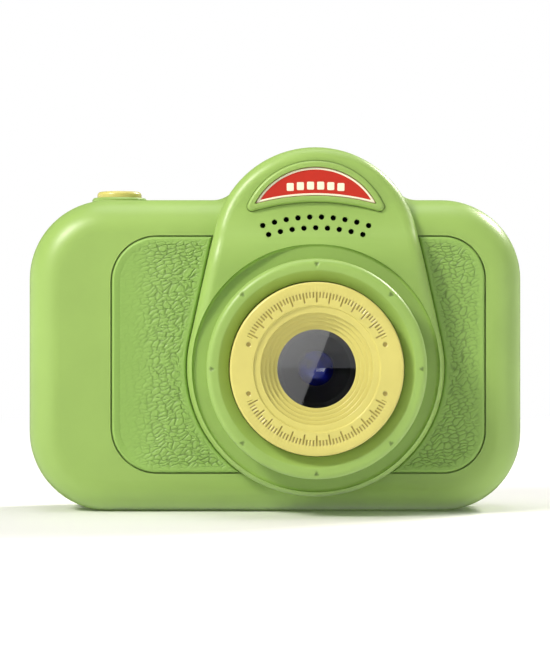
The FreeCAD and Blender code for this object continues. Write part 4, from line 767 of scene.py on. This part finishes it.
def lens_barrel():
    """Barrel round the lens: rounded rim, slope down to the ring, and eight arrow marks."""
    sizes = bpy.context.scene.kids_camera_sizes
    low, high = low_high("lens_barrel")
    centre = middle("lens_ring")[[0, 2]]
    front, back = low[1], high[1]
    hole, spigot, outer, bore = (BARREL[k] for k in ("hole", "spigot", "outer", "bore"))
    shoulder, floor = BARREL["shoulder"], back - BARREL["floor"]
    profile = dense(rounded([
        (hole, back), (spigot, back), (spigot, shoulder), (outer, shoulder),
        (outer, front, 1.15), (BARREL["rim"], front, 0.5), (bore, front + BARREL["slope"], 0.25),
        (bore, floor), (hole, floor), (hole, back)], steps=6), 0.5)[:-1]
    columns = BARREL["columns"]
    angle = np.linspace(0, 2 * math.pi, columns, endpoint=False)[None, :]
    radius, depth = profile[:, :1], profile[:, 1:]
    turn = (angle + math.pi / 8) % (math.pi / 4) - math.pi / 8
    across = radius * turn
    reach, half = radius - ARROW["radius"], ARROW["half"]
    wide = ARROW["wide"] * np.clip((reach + half) / (2 * half), 0, 1)
    arrow = np.maximum(np.abs(across) - wide, np.abs(reach) - half)
    on_rim = (depth < front + 1.0) & (radius > ARROW["from"])
    cut = inside(arrow, 0.08) * on_rim
    grid = turned(centre, profile[:, 0], depth + cut * sizes.mark_depth / MM, columns=columns)
    piece = solid("lens_barrel_moulded", [grid], finish("green_plastic"), "case",
                  ("lens_barrel",), ring=True, sharp=50)
    # painted shade: the arrow marks are darkened in full
    shade(piece, "engraved", cut)


SCALE = {"outer": 13.6, "inner": 11.76, "stroke": 0.13, "dot": 0.42, "dot_radius": 12.8,
         "degrees": 2.6, "strokes": 25, "long": 0.92, "short": 0.5}
RING = {"hollow": 9.6, "face": 11.25, "thread": 9.9, "view": 7.0, "seat": 8.0, "threads": 4,
        "pitch": 0.725, "fall": 0.62, "step": 0.4, "glue": 0.05}


def scale_marks(angle, radius):
    """Engraved scale in two arcs, above and below: radial strokes 2.6 degrees apart, every
    fourth one long, with a dot at each end; 1 inside a stroke."""
    step = math.radians(SCALE["degrees"])
    half_arc = SCALE["strokes"] * step
    total = np.zeros(np.broadcast(angle, radius).shape)
    for centre in (math.pi / 2, -math.pi / 2):
        turn = (angle - centre + math.pi) % (2 * math.pi) - math.pi
        index = np.round(turn / step)
        across = radius * (turn - index * step)
        tall = np.where(index % 4 == 0, SCALE["long"], SCALE["short"])
        inner = SCALE["outer"] - 2 * tall
        along = np.maximum(inner - radius, radius - SCALE["outer"])
        stroke = np.maximum(np.abs(across) - SCALE["stroke"], along)
        total = np.maximum(total, inside(stroke, 0.05) * (np.abs(turn) < half_arc))
        for end in (-1, 1):
            away = np.hypot(radius * np.sin(turn - end * (half_arc + 2 * step)),
                            radius * np.cos(turn - end * (half_arc + 2 * step))
                            - SCALE["dot_radius"])
            total = np.maximum(total, inside(away - SCALE["dot"], 0.06))
    return total


def lens_ring():
    """Yellow ring: flat face with the engraved scale, a fine step, then the thread steps that go
    down to the glass."""
    sizes = bpy.context.scene.kids_camera_sizes
    low, high = low_high("lens_ring")
    centre = middle("lens_ring")[[0, 2]]
    front, back = low[1], high[1]
    outer = high[0] - centre[0]
    hollow, seat, view = RING["hollow"], RING["seat"], RING["view"]
    radius, depth = RING["thread"], front + RING["step"]
    corners = [(hollow, back), (outer, back), (outer, front, 0.45),
               (SCALE["outer"] + 0.1, front), (SCALE["inner"] - 0.1, front),
               (RING["face"], front, 0.12), (RING["face"] - 0.15, depth, 0.12),
               (radius, depth, 0.14)]
    for _ in range(RING["threads"]):
        depth += RING["fall"]
        corners.append((radius, depth, 0.1))
        corners.append((radius + 0.16, depth + 0.02, 0.06))
        corners.append((radius + 0.14, depth + 0.1, 0.06))
        radius -= RING["pitch"]
        corners.append((radius, depth + 0.1, 0.14))
        depth += 0.08
    corners[-1] = (view, depth + 0.02, 0.1)
    over, under = low_high("lens_window")[0][1] - RING["glue"], low_high("lens_window")[1][1]
    corners += [(view, over), (seat, over), (seat, under), (hollow, under), (hollow, back)]
    profile = rounded(corners, steps=3)
    middle_line = (SCALE["outer"] + SCALE["inner"]) / 2
    half_band = (SCALE["outer"] - SCALE["inner"]) / 2 + 0.13
    face = (profile[:, 1] < front + 0.001) & (np.abs(profile[:, 0] - middle_line) < half_band)
    fine, fine_step, coarse_step = [], 0.09, 3.0
    for a, b, flat_a, flat_b in zip(profile, profile[1:], face, face[1:]):
        step = fine_step if flat_a and flat_b else coarse_step
        count = max(1, int(round(float(np.hypot(*(b - a))) / step)))
        fine.append(a + (b - a) * np.linspace(0, 1, count, endpoint=False)[:, None])
    profile = np.vstack(fine)
    columns = sizes.ring_steps
    angle = np.linspace(0, 2 * math.pi, columns, endpoint=False)[None, :]
    cut = scale_marks(angle, profile[:, :1]) * (profile[:, 1:] < front + 0.02)
    grid = turned(centre, profile[:, 0], profile[:, 1:] + cut * sizes.tick_depth / MM,
                  columns=columns)
    piece = solid("lens_ring_engraved", [grid], finish("yellow_plastic"), "case",
                  ("lens_ring",), ring=True, sharp=50)
    # painted shade: the scale's strokes and dots are darkened at three quarters strength
    shade(piece, "engraved", cut * 0.75)


def lens_glass():
    """Flat front glass with a fine bevel, and the domed, coated element deep behind it."""
    low, high = low_high("lens_window")
    centre = middle("lens_window")[[0, 2]]
    outer = high[0] - centre[0]
    front, back = low[1], high[1]
    path = rounded([(0, front), (outer, front, 0.12), (outer, back, 0.12), (0, back)], steps=3)
    path = np.insert(path, 1, [outer - 0.2, front], axis=0)
    solid("lens_window_glass", [turned(centre, path[:, 0], path[:, 1])], finish("lens_glass"),
          "case", ("lens_window",))
    low, high = low_high("camera_lens")
    outer = high[0] - centre[0]
    radius = np.linspace(0, outer, 28)
    dome = low[1] + 1.0 * (radius / outer) ** 2
    radius = np.concatenate([radius, [outer, 0]])
    dome = np.concatenate([dome, [high[1], high[1]]])
    solid("camera_lens_coated", [turned(centre, radius, dome, columns=96)],
          finish("coated_glass"), "case", ("camera_lens",))


# ---------------------------------------------------------------- keys, shutter, screws
def power_icon(u, v):
    """Open ring with an upright bar in its gap."""
    around = np.hypot(u, v)
    ring = np.maximum(np.abs(around - 1.3) - 0.19, 0.62 - np.abs(np.arctan2(u, v)))
    return np.minimum(ring, segment_distance(u, v, (0, 0.35), (0, 1.45)) - 0.19)


def triangle(u, v, up):
    """Solid triangle that points up or down."""
    v = v * up
    slope = (np.abs(u) * 1.7 + v - 1.2) / math.hypot(1.7, 1.0)
    return np.maximum(slope, -v - 0.85)


def settings_icon(u, v):
    """Gear: a ring with eight teeth and a round middle."""
    around, angle = np.hypot(u, v), np.arctan2(v, u)
    ring = np.abs(around - 0.86) - 0.2
    turn = (angle + math.pi / 8) % (math.pi / 4) - math.pi / 8
    tooth = np.maximum(np.abs(around * turn) - 0.2, np.abs(around - 1.16) - 0.22)
    return np.minimum(np.minimum(ring, tooth), around - 0.22)


def gallery_icon(u, v):
    """Picture: a rounded frame with a hill line in it."""
    border = np.abs(box_distance(u, v, 1.4, 1.02, 0.35)) - 0.13
    hills = np.minimum(segment_distance(u, v, (-0.95, -0.5), (-0.25, 0.12)),
                       segment_distance(u, v, (-0.25, 0.12), (0.1, -0.12)))
    hills = np.minimum(hills, segment_distance(u, v, (0.1, -0.12), (0.9, 0.42)))
    return np.minimum(border, hills - 0.13)


# strengths of the painted shade in the key symbols: deeper for settings and gallery
ICON_SHADE_DEEP, ICON_SHADE_SOFT = 0.95, 0.7
KEY_ICONS = {"power": power_icon, "up": lambda u, v: triangle(u, v, 1),
             "settings": settings_icon, "gallery": gallery_icon,
             "down": lambda u, v: triangle(u, v, -1)}
STEM, FLANGE = 1.2, 0.5
KEY = {"flange_top": 3.5, "flange_low": 4.5, "face": 2.1, "face_rows": 44, "dish": 0.1,
       "columns": 192}
SHUTTER = {"flange_top": 4.0, "flange_low": 5.0, "edge": 0.7, "border": 1.6, "rows": 20,
           "dish": 0.22, "dish_border": 0.8}


def cap_side(cap, top, low, reach, edge, sizes):
    """Profile of a button outside its face: rounded edge, side, inner flange and stem."""
    flange_top, flange_low = top - sizes["flange_top"], top - sizes["flange_low"]
    return rounded([(reach, top), (cap, top, edge), (cap, flange_top), (cap + FLANGE, flange_top),
                    (cap + FLANGE, flange_low), (STEM, flange_low), (STEM, low), (0, low)],
                   steps=8)


def key_cap(name, icon):
    """Round cap with its engraved symbol, rounded edge, inner flange and stem."""
    sizes = bpy.context.scene.kids_camera_sizes
    node = name + "_button"
    low, high = low_high(node)
    centre = middle(node)[[0, 2]]
    cap = (high[0] - low[0]) / 2 - FLANGE
    top, edge, reach = high[1], sizes.key_edge / MM, KEY["face"]
    side = cap_side(cap, top, low[1], reach, edge, KEY)
    rows, columns = KEY["face_rows"], KEY["columns"]
    radius = np.concatenate([np.linspace(0, reach, rows), side[1:, 0]])
    depth = np.concatenate([np.full(rows, top), side[1:, 1]])[:, None]
    angle = np.linspace(0, 2 * math.pi, columns, endpoint=False)[None, :]
    u, v = -radius[:, None] * np.cos(angle), radius[:, None] * np.sin(angle)
    cut = inside(icon(u, v), 0.05) * (depth > top - 0.01) * (radius[:, None] < reach)
    cut[0] = cut[0].mean()
    dish = (KEY["dish"] * np.clip(1 - (radius[:, None] / (cap - edge)) ** 2, 0, 1)
            * (depth > top - 0.01))
    grid = turned(centre, radius, depth - dish - cut * sizes.icon_depth / MM, columns=columns)
    piece = solid(node + "_cap", [grid], finish("yellow_plastic"), name + "_key",
                  (node,), sharp=50)
    # painted shade in the engraved symbols, deeper on the settings and gallery keys
    shaded = cut * (ICON_SHADE_DEEP if name in ("settings", "gallery") else ICON_SHADE_SOFT)
    keep = np.concatenate([[0], np.arange(columns, (len(radius) - 1) * columns + 1)])
    shade(piece, "engraved", shaded.ravel()[keep])


def shutter_button():
    """Shutter release: a broad cap, faintly dished, with a rounded edge."""
    low, high = low_high("shutter_button")
    centre = middle("shutter_button")[:2]
    cap, top = (high[0] - low[0]) / 2 - FLANGE, high[2]
    reach, rows = cap - SHUTTER["border"], SHUTTER["rows"]
    side = cap_side(cap, top, low[2], reach, SHUTTER["edge"], SHUTTER)
    radius = np.concatenate([np.linspace(0, reach, rows), side[1:, 0]])
    depth = np.concatenate([np.full(rows, top), side[1:, 1]])
    dish = (SHUTTER["dish"] * np.clip(1 - (radius / (cap - SHUTTER["dish_border"])) ** 2, 0, 1)
            * (depth > top - 0.01))
    solid("shutter_button_cap", [turned(centre, radius, depth - dish, axis="Z")],
          finish("yellow_plastic"), "shutter_key", ("shutter_button",),
          sharp=50)


CASE_SCREWS = [(33.25, 52.7), (-21.3, 52.7), (33.25, 5.8), (-31.5, 5.8)]
SCREW = {"face": 1.2, "head": 1.7, "head_height": 1.4, "thread": 1.0, "point": 0.6, "rows": 22,
         "arm": 0.95, "arm_half": 0.22, "recess": 0.7, "dome": 0.12, "columns": 96}


def case_screws():
    """Four pan-head screws with cross recesses, deep in their holes."""
    low, high = low_high("case_screws")
    top = high[1]
    face, head, thread = SCREW["face"], SCREW["head"], SCREW["thread"]
    under = top - SCREW["head_height"]
    side = rounded([(face, top, 0.0), (head, top - 0.1, 0.35), (head, under), (thread, under),
                    (thread, low[1] + SCREW["point"]), (0, low[1])], steps=4)
    rows, columns = SCREW["rows"], SCREW["columns"]
    radius = np.concatenate([np.linspace(0, face, rows), side[1:, 0]])
    depth = np.concatenate([np.full(rows, top), side[1:, 1]])[:, None]
    angle = np.linspace(0, 2 * math.pi, columns, endpoint=False)[None, :]
    u, v = radius[:, None] * np.cos(angle), radius[:, None] * np.sin(angle)
    half, arm = SCREW["arm_half"], SCREW["arm"]
    cross = np.minimum(np.maximum(np.abs(u) - half, np.abs(v) - arm),
                       np.maximum(np.abs(v) - half, np.abs(u) - arm))
    cut = inside(cross, 0.05) * (depth > top - 0.11)
    dome = SCREW["dome"] * (radius[:, None] / face) ** 2 * (depth > top - 0.01)
    grids = [turned(place, radius, depth - dome - SCREW["recess"] * cut, columns=columns)
             for place in CASE_SCREWS]
    solid("case_screws_cross", grids, finish("screw_steel"), "case",
          ("case_screws",), sharp=40)


# ---------------------------------------------------------------- glass on the back
def rectangle_path(centre, half_u, half_v, radius, inset, count=40):
    """Rounded rectangle brought in by inset: quarter arcs joined by straight sides."""
    r = max(radius - inset, 0.01)
    parts = []
    for i, (su, sv) in enumerate(((1, 1), (-1, 1), (-1, -1), (1, -1))):
        angle = np.linspace(i * math.pi / 2, (i + 1) * math.pi / 2, count)
        corner = [centre[0] + su * (half_u - inset - r), centre[1] + sv * (half_v - inset - r)]
        parts.append(corner + r * np.stack([np.cos(angle), np.sin(angle)], -1))
    return np.vstack(parts)


def segment_path(centre, radius, flat, tip, inset, count=160):
    """Circle cut off by a level line, brought in by inset, its two corners rounded."""
    r, level, tip = radius - inset, flat + inset, max(tip - inset, 0.05)
    side = math.sqrt((r - tip) ** 2 - (level + tip) ** 2)
    start = math.atan2(level + tip, side)
    parts = []
    for middle_point, size, first, last, share in (
            ((0, 0), r, start, math.pi - start, 0.55),
            ((-side, level + tip), tip, math.pi - start, 1.5 * math.pi, 0.2),
            ((side, level + tip), tip, -0.5 * math.pi, start, 0.2)):
        angle = np.linspace(first, last, int(count * share))
        parts.append(np.array(middle_point) + size * np.stack([np.cos(angle), np.sin(angle)], -1))
    return np.vstack(parts) + centre


BEVEL = 0.25
DISPLAY = {"corner": 5.4, "border": 1.4}
SELFIE = {"radius": 12.0, "tip": 0.8, "border": 0.7, "hole": 1.9, "spot": 1.88}


def pane(name, outline, pole, front, back, node, border, hole=0.0):
    """Window pane: loops of its outline brought in step by step, from its middle or from the edge
    of a round hole over the bevelled edge and round to the back. The screen attribute is 1 inside
    the printed border."""
    base = outline(0.0)
    away = base - pole
    start = pole + hole * away / np.hypot(away[:, 0], away[:, 1])[:, None]
    loops, screen = [], []
    for flat, depth, lit in ((start, front, 1), (pole + away * 0.6, front, 1),
                             (outline(border + 0.1), front, 1), (outline(border), front, 0),
                             (outline(BEVEL + 0.06), front, 0), (outline(BEVEL), front, 0),
                             (outline(BEVEL * 0.3), front - 0.3 * BEVEL, 0),
                             (base, front - BEVEL, 0), (base, back, 0), (start, back, 0)):
        loops.append(np.stack([flat[:, 0], np.full(len(flat), depth), flat[:, 1]], axis=-1))
        screen.append(np.full(len(flat), float(lit)))
    piece = solid(name, [np.array(loops)], finish("window_glass"), "case", (node,),
                  ring=hole > 0, sharp=60)
    values = np.concatenate(screen)
    count = len(base)
    if not hole:
        values = np.concatenate([values[:1], values[count:-count], values[-1:]])
    shade(piece, "screen", values)


def display_window():
    """Display window: a rounded rectangle with a black printed border round the screen."""
    low, high = low_high("display_window")
    centre = middle("display_window")[[0, 2]]
    half = (high - low) / 2

    def outline(inset):
        """The window's outline brought in by inset."""
        return rectangle_path(centre, half[0], half[2], DISPLAY["corner"], inset)

    pane("display_window_glass", outline, centre, high[1], low[1], "display_window",
         DISPLAY["border"])


def selfie_window():
    """Selfie window: a printed half-moon with a clear spot in front of the small camera."""
    low, high = low_high("selfie_window")
    lens = middle("selfie_lens")[[0, 2]]
    radius, spot = SELFIE["radius"], SELFIE["spot"]
    centre = np.array([middle("selfie_window")[0], high[2] - radius])

    def outline(inset):
        """The window's outline brought in by inset."""
        return segment_path(centre, radius, low[2] - centre[1], SELFIE["tip"], inset)

    pane("selfie_window_glass", outline, lens, high[1], low[1], "selfie_window",
         SELFIE["border"], hole=SELFIE["hole"])
    spot = rounded([(0, high[1]), (spot, high[1], 0.04), (spot, low[1], 0.04), (0, low[1])])
    solid("selfie_window_clear", [turned(lens, spot[:, 0], spot[:, 1], columns=96)],
          finish("lens_glass"), "case")


# ---------------------------------------------------------------- stage
# Brightness of the walls, and the distance in metres of the boards that the glass mirrors.
WALL = 1.0
BOARD_Y = 1.25
BOARD_SPARE = 0.01
DARK = 0.004
FADE_POWER = 1.7
FLOOR_RINGS = (0.0, 0.15, 0.4, 1.0, 2.0, 4.0)
VIEW = {"lens": 135.0, "shape": (550, 660), "margin": 1.12, "rear_margin": 1.03}


def area_light(name, place, target, size, power, tint="#ffffff"):
    """Square soft light that faces its target and isn't seen itself."""
    light = bpy.data.lights.new(name, "AREA")
    light.shape = "RECTANGLE"
    light.size, light.size_y, light.energy = size, size, power
    light.color = linear(tint)[:3]
    lamp = bpy.data.objects.new(name, light)
    bpy.context.scene.collection.objects.link(lamp)
    lamp.location = place
    away = lamp.location - target
    lamp.rotation_euler = away.to_track_quat("Z", "Y").to_euler()
    lamp.visible_camera = False


def stage_material(name, hex_colour, roughness):
    """Pale painted board: even and faintly clouded, so that only soft shadows show on it; far
    from the object it glows as brightly as the walls, so no horizon shows."""
    material, tree, place = new_material(name)
    cloud = add(tree, "TexNoise", (place, "Vector"), Scale=3.0)
    base = linear(hex_colour)
    tint = add(tree, "ValToRGB", (cloud.outputs["Fac"], "Fac"),
               stops=[(0.3, tone(base, 0.98)), (0.7, base)])
    surface = add(tree, "BsdfPrincipled", (tint.outputs["Color"], "Base Color"),
                  Roughness=roughness)
    glow = add(tree, "Emission", Strength=WALL)
    away = add(tree, "VectorMath", (place, 0), operation="LENGTH")
    far = add(tree, "MapRange", (away.outputs["Value"], "Value"), From_Min=0.12, From_Max=0.5,
              interpolation_type="SMOOTHSTEP")
    mix = add(tree, "MixShader", (far.outputs[0], 0), (surface.outputs[0], 1),
              (glow.outputs[0], 2))
    add(tree, "OutputMaterial", (mix.outputs[0], "Surface"))
    return material


def mirror_board(name, corners, bright, dim):
    """Soft panel that only mirror images show: its light fades from its first corner to its
    third, so that a flat glass gets a clean slanting reflection. A dim panel is a dark screen."""
    points = np.array(corners, float) / MM
    material, tree, place = new_material(name + "_glow")
    origin, along = points[0] * MM, (points[2] - points[0]) * MM
    along = along / (along @ along)
    dot = add(tree, "VectorMath", (place, 0), operation="DOT_PRODUCT")
    dot.inputs[1].default_value = tuple(along)
    start = float(origin @ along)
    left = add(tree, "MapRange", (dot.outputs["Value"], "Value"), From_Min=start,
               From_Max=start + 1.0, To_Min=1.0, To_Max=0.0)
    fall = add(tree, "Math", (left.outputs[0], 0), operation="POWER")
    fall.inputs[1].default_value = FADE_POWER
    fade = add(tree, "MapRange", (fall.outputs[0], "Value"), To_Min=dim, To_Max=bright)
    glow = add(tree, "Emission", (fade.outputs[0], "Strength"))
    add(tree, "OutputMaterial", (glow.outputs[0], "Surface"))
    board = build(name, points, [np.arange(len(points))[None, :]], material, None)
    board.visible_camera = board.visible_diffuse = board.visible_shadow = False


def image_place(point, eye, glass_y, board_y):
    """Where a flat glass shows a point of the board: the line from the eye to that point of the
    glass, mirrored by it and carried on to the board."""
    reach = 1 + abs(board_y - glass_y) / abs(eye.y - glass_y)
    return eye.x + (point[0] - eye.x) * reach, eye.z + (point[1] - eye.z) * reach


def rear_board(name, node, eye, top_share, bottom_share, turned_over, bright, dim):
    """Board whose slanting edge shows in a rear window from a share of its width at the top to
    another at the bottom. Turned over, it is brightest at the bottom instead of the top."""
    low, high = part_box(node)
    wide = high.x - low.x
    edge = [(low.x + top_share * wide, high.z), (low.x + bottom_share * wide, low.z)]
    (x1, z1), (x2, z2) = [image_place(p, eye, high.y, BOARD_Y) for p in edge]
    far = image_place((high.x, high.z), eye, high.y, BOARD_Y)[0] + BOARD_SPARE
    corners = [(far, z1), (x1, z1), (x2, z2), (far, z2)]
    if turned_over:
        corners = corners[3:] + corners[:3]
    mirror_board(name, [(x, BOARD_Y, z) for x, z in corners], bright, dim)


def glass_boards(front_eye, rear_eye):
    """Boards behind the front and rear viewpoints: slanting bright panels in front of dark
    screens, which give each flat glass one clean diagonal reflection."""
    dark = [(-0.9, -1.2), (0.9, -1.2), (0.9, 0.7), (-0.9, 0.7)]
    for side, name in ((-1, "front"), (1, "rear")):
        y = side * (BOARD_Y + 0.03)
        mirror_board(name + "_dark_board", [(x, y, z) for x, z in dark], DARK, DARK)
    lens = middle("lens_window") * MM
    glass_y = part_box("lens_window")[0].y
    slant = [(lens[0] + 0.0030, lens[2] + 0.0080), (lens[0] - 0.0035, lens[2] - 0.0085)]
    (x1, z1), (x2, z2) = [image_place(p, front_eye, glass_y, -BOARD_Y) for p in slant]
    mirror_board("lens_board", [(x1 - 0.09, -BOARD_Y, z1), (x1, -BOARD_Y, z1),
                                (x2, -BOARD_Y, z2), (x2 - 0.09, -BOARD_Y, z2)], 7.0, 2.4)
    rear_board("display_board", "display_window", rear_eye, 0.185, 0.69, False, 20.0, 1.6)
    rear_board("selfie_board", "selfie_window", rear_eye, 0.36, 0.60, True, 14.0, 4.0)


def make_stage():
    """Pale floor, bright walls with a dim ceiling, three lights, the camera and its boards."""
    scene = bpy.context.scene
    low, high = CAD_BOX
    centre = (low + high) / 2
    angle = np.linspace(0, 2 * math.pi, 96, endpoint=False)
    rings = np.array(FLOOR_RINGS) / MM
    grid = np.stack([rings[:, None] * np.cos(angle), rings[:, None] * np.sin(angle),
                     np.zeros((len(rings), len(angle)))], axis=-1)
    points, faces = closed([grid])
    floor = build("floor", points, faces, stage_material("painted_board", "#f4f4f2", 0.6), None)
    if floor.data.polygons[0].normal.z < 0:
        floor.data.flip_normals()
    floor.visible_glossy = False

    world = bpy.data.worlds.new("studio")
    scene.world = world
    world.use_nodes = True
    tree = world.node_tree
    tree.nodes.clear()
    place = add(tree, "TexCoord").outputs["Generated"]
    up = add(tree, "SeparateXYZ", (place, "Vector"))
    sky = add(tree, "ValToRGB", (up.outputs["Z"], "Fac"),
              stops=[(0.0, (WALL, WALL, WALL, 1)), (0.145, (WALL, WALL, WALL, 1)),
                     (0.3, (0.24, 0.245, 0.25, 1)), (1.0, (0.24, 0.24, 0.25, 1))])
    back = add(tree, "Background", (sky.outputs["Color"], "Color"), Strength=1.0)
    add(tree, "OutputWorld", (back.outputs[0], "Surface"))

    for name, side in (("key_light", -1), ("rear_key_light", 1)):
        area_light(name, (0.55 * side, 0.5 * side, 0.6), centre, 0.24, 7.9, "#fffaf2")
    area_light("top_light", (0.0, 0.0, 0.8), centre, 0.5, 2.0)

    camera = bpy.data.cameras.new("camera")
    camera.lens = VIEW["lens"]
    eye = bpy.data.objects.new("camera", camera)
    scene.collection.objects.link(eye)
    spread = camera.sensor_width / camera.lens * VIEW["shape"][0] / VIEW["shape"][1]
    distance = (high.x - low.x) * VIEW["margin"] / spread
    eye.location = (centre.x, centre.y - distance, centre.z)
    eye.rotation_euler = (math.radians(90), 0, 0)
    camera.clip_start, camera.clip_end = 0.01, 20.0
    scene.camera = eye
    scene.view_settings.view_transform = "Standard"
    scene.view_settings.look = "None"
    rear = centre.copy()
    rear.y += (high - low).length / 2 / math.sin(math.atan(spread / 2)) * VIEW["rear_margin"]
    glass_boards(eye.location, rear)


# ---------------------------------------------------------------- operators
class KidsCameraOperator:
    """What the operators share."""

    bl_options = {"REGISTER", "UNDO"}


class KIDSCAM_OT_finishes(KidsCameraOperator, bpy.types.Operator):
    """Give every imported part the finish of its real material"""

    bl_idname = "kidscam.finishes"
    bl_label = "Part Finishes"

    def execute(self, context):
        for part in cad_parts.values():
            slot = part.data.materials[0].name.split(".")[0]
            if part.name in ("front_shell", "rear_shell"):
                slot = "green_shell"
            part.material_slots[0].material = finish(slot)
        return {"FINISHED"}


class KIDSCAM_OT_grips(KidsCameraOperator, bpy.types.Operator):
    """Make the two grained grip panels"""

    bl_idname = "kidscam.grips"
    bl_label = "Grip Panels"

    def execute(self, context):
        grip_panel("left")
        grip_panel("right")
        return {"FINISHED"}


class KIDSCAM_OT_badge(KidsCameraOperator, bpy.types.Operator):
    """Make the badge: border, red face, cream line and squares"""

    bl_idname = "kidscam.badge"
    bl_label = "Badge"

    def execute(self, context):
        badge_frame()
        badge_inlay()
        return {"FINISHED"}


class KIDSCAM_OT_lens(KidsCameraOperator, bpy.types.Operator):
    """Make the lens barrel, the engraved ring and the lens glass"""

    bl_idname = "kidscam.lens"
    bl_label = "Lens"

    def execute(self, context):
        lens_barrel()
        lens_ring()
        lens_glass()
        return {"FINISHED"}


class KIDSCAM_OT_keys(KidsCameraOperator, bpy.types.Operator):
    """Make the five keys with their symbols and the shutter button"""

    bl_idname = "kidscam.keys"
    bl_label = "Keys"

    def execute(self, context):
        for name, icon in KEY_ICONS.items():
            key_cap(name, icon)
        shutter_button()
        return {"FINISHED"}


class KIDSCAM_OT_screws(KidsCameraOperator, bpy.types.Operator):
    """Make the case screws with their cross recesses"""

    bl_idname = "kidscam.screws"
    bl_label = "Case Screws"

    def execute(self, context):
        case_screws()
        return {"FINISHED"}


class KIDSCAM_OT_windows(KidsCameraOperator, bpy.types.Operator):
    """Make the display window and the selfie window"""

    bl_idname = "kidscam.windows"
    bl_label = "Windows"

    def execute(self, context):
        display_window()
        selfie_window()
        return {"FINISHED"}


class KIDSCAM_OT_stage(KidsCameraOperator, bpy.types.Operator):
    """Make the floor, the studio light and the camera"""

    bl_idname = "kidscam.stage"
    bl_label = "Stage"

    def execute(self, context):
        make_stage()
        return {"FINISHED"}


OPERATORS = [KIDSCAM_OT_finishes, KIDSCAM_OT_grips, KIDSCAM_OT_badge, KIDSCAM_OT_lens,
             KIDSCAM_OT_keys, KIDSCAM_OT_screws, KIDSCAM_OT_windows, KIDSCAM_OT_stage]


class KIDSCAM_PT_panel(bpy.types.Panel):
    """Sidebar panel that lists the steps"""

    bl_idname = "KIDSCAM_PT_panel"
    bl_label = "Kids Camera"
    bl_space_type = "VIEW_3D"
    bl_region_type = "UI"
    bl_category = "Kids Camera"

    def draw(self, context):
        for operator in OPERATORS:
            self.layout.operator(operator.bl_idname)


CLASSES = [KidsCameraSizes, KidsCameraColours] + OPERATORS + [KIDSCAM_PT_panel]


def register():
    """Registers the classes and hangs their settings on the scene."""
    for made in CLASSES:
        bpy.utils.register_class(made)
    bpy.types.Scene.kids_camera_sizes = PointerProperty(type=KidsCameraSizes)
    bpy.types.Scene.kids_camera_colours = PointerProperty(type=KidsCameraColours)


def unregister():
    """Undoes register."""
    del bpy.types.Scene.kids_camera_colours
    del bpy.types.Scene.kids_camera_sizes
    for made in reversed(CLASSES):
        bpy.utils.unregister_class(made)


def main():
    """Runs every step in turn."""
    register()
    bpy.ops.kidscam.finishes()
    bpy.ops.kidscam.grips()
    bpy.ops.kidscam.badge()
    bpy.ops.kidscam.lens()
    bpy.ops.kidscam.keys()
    bpy.ops.kidscam.screws()
    bpy.ops.kidscam.windows()
    bpy.ops.kidscam.stage()
    bpy.context.view_layer.update()


if __name__ == "__main__":
    main()
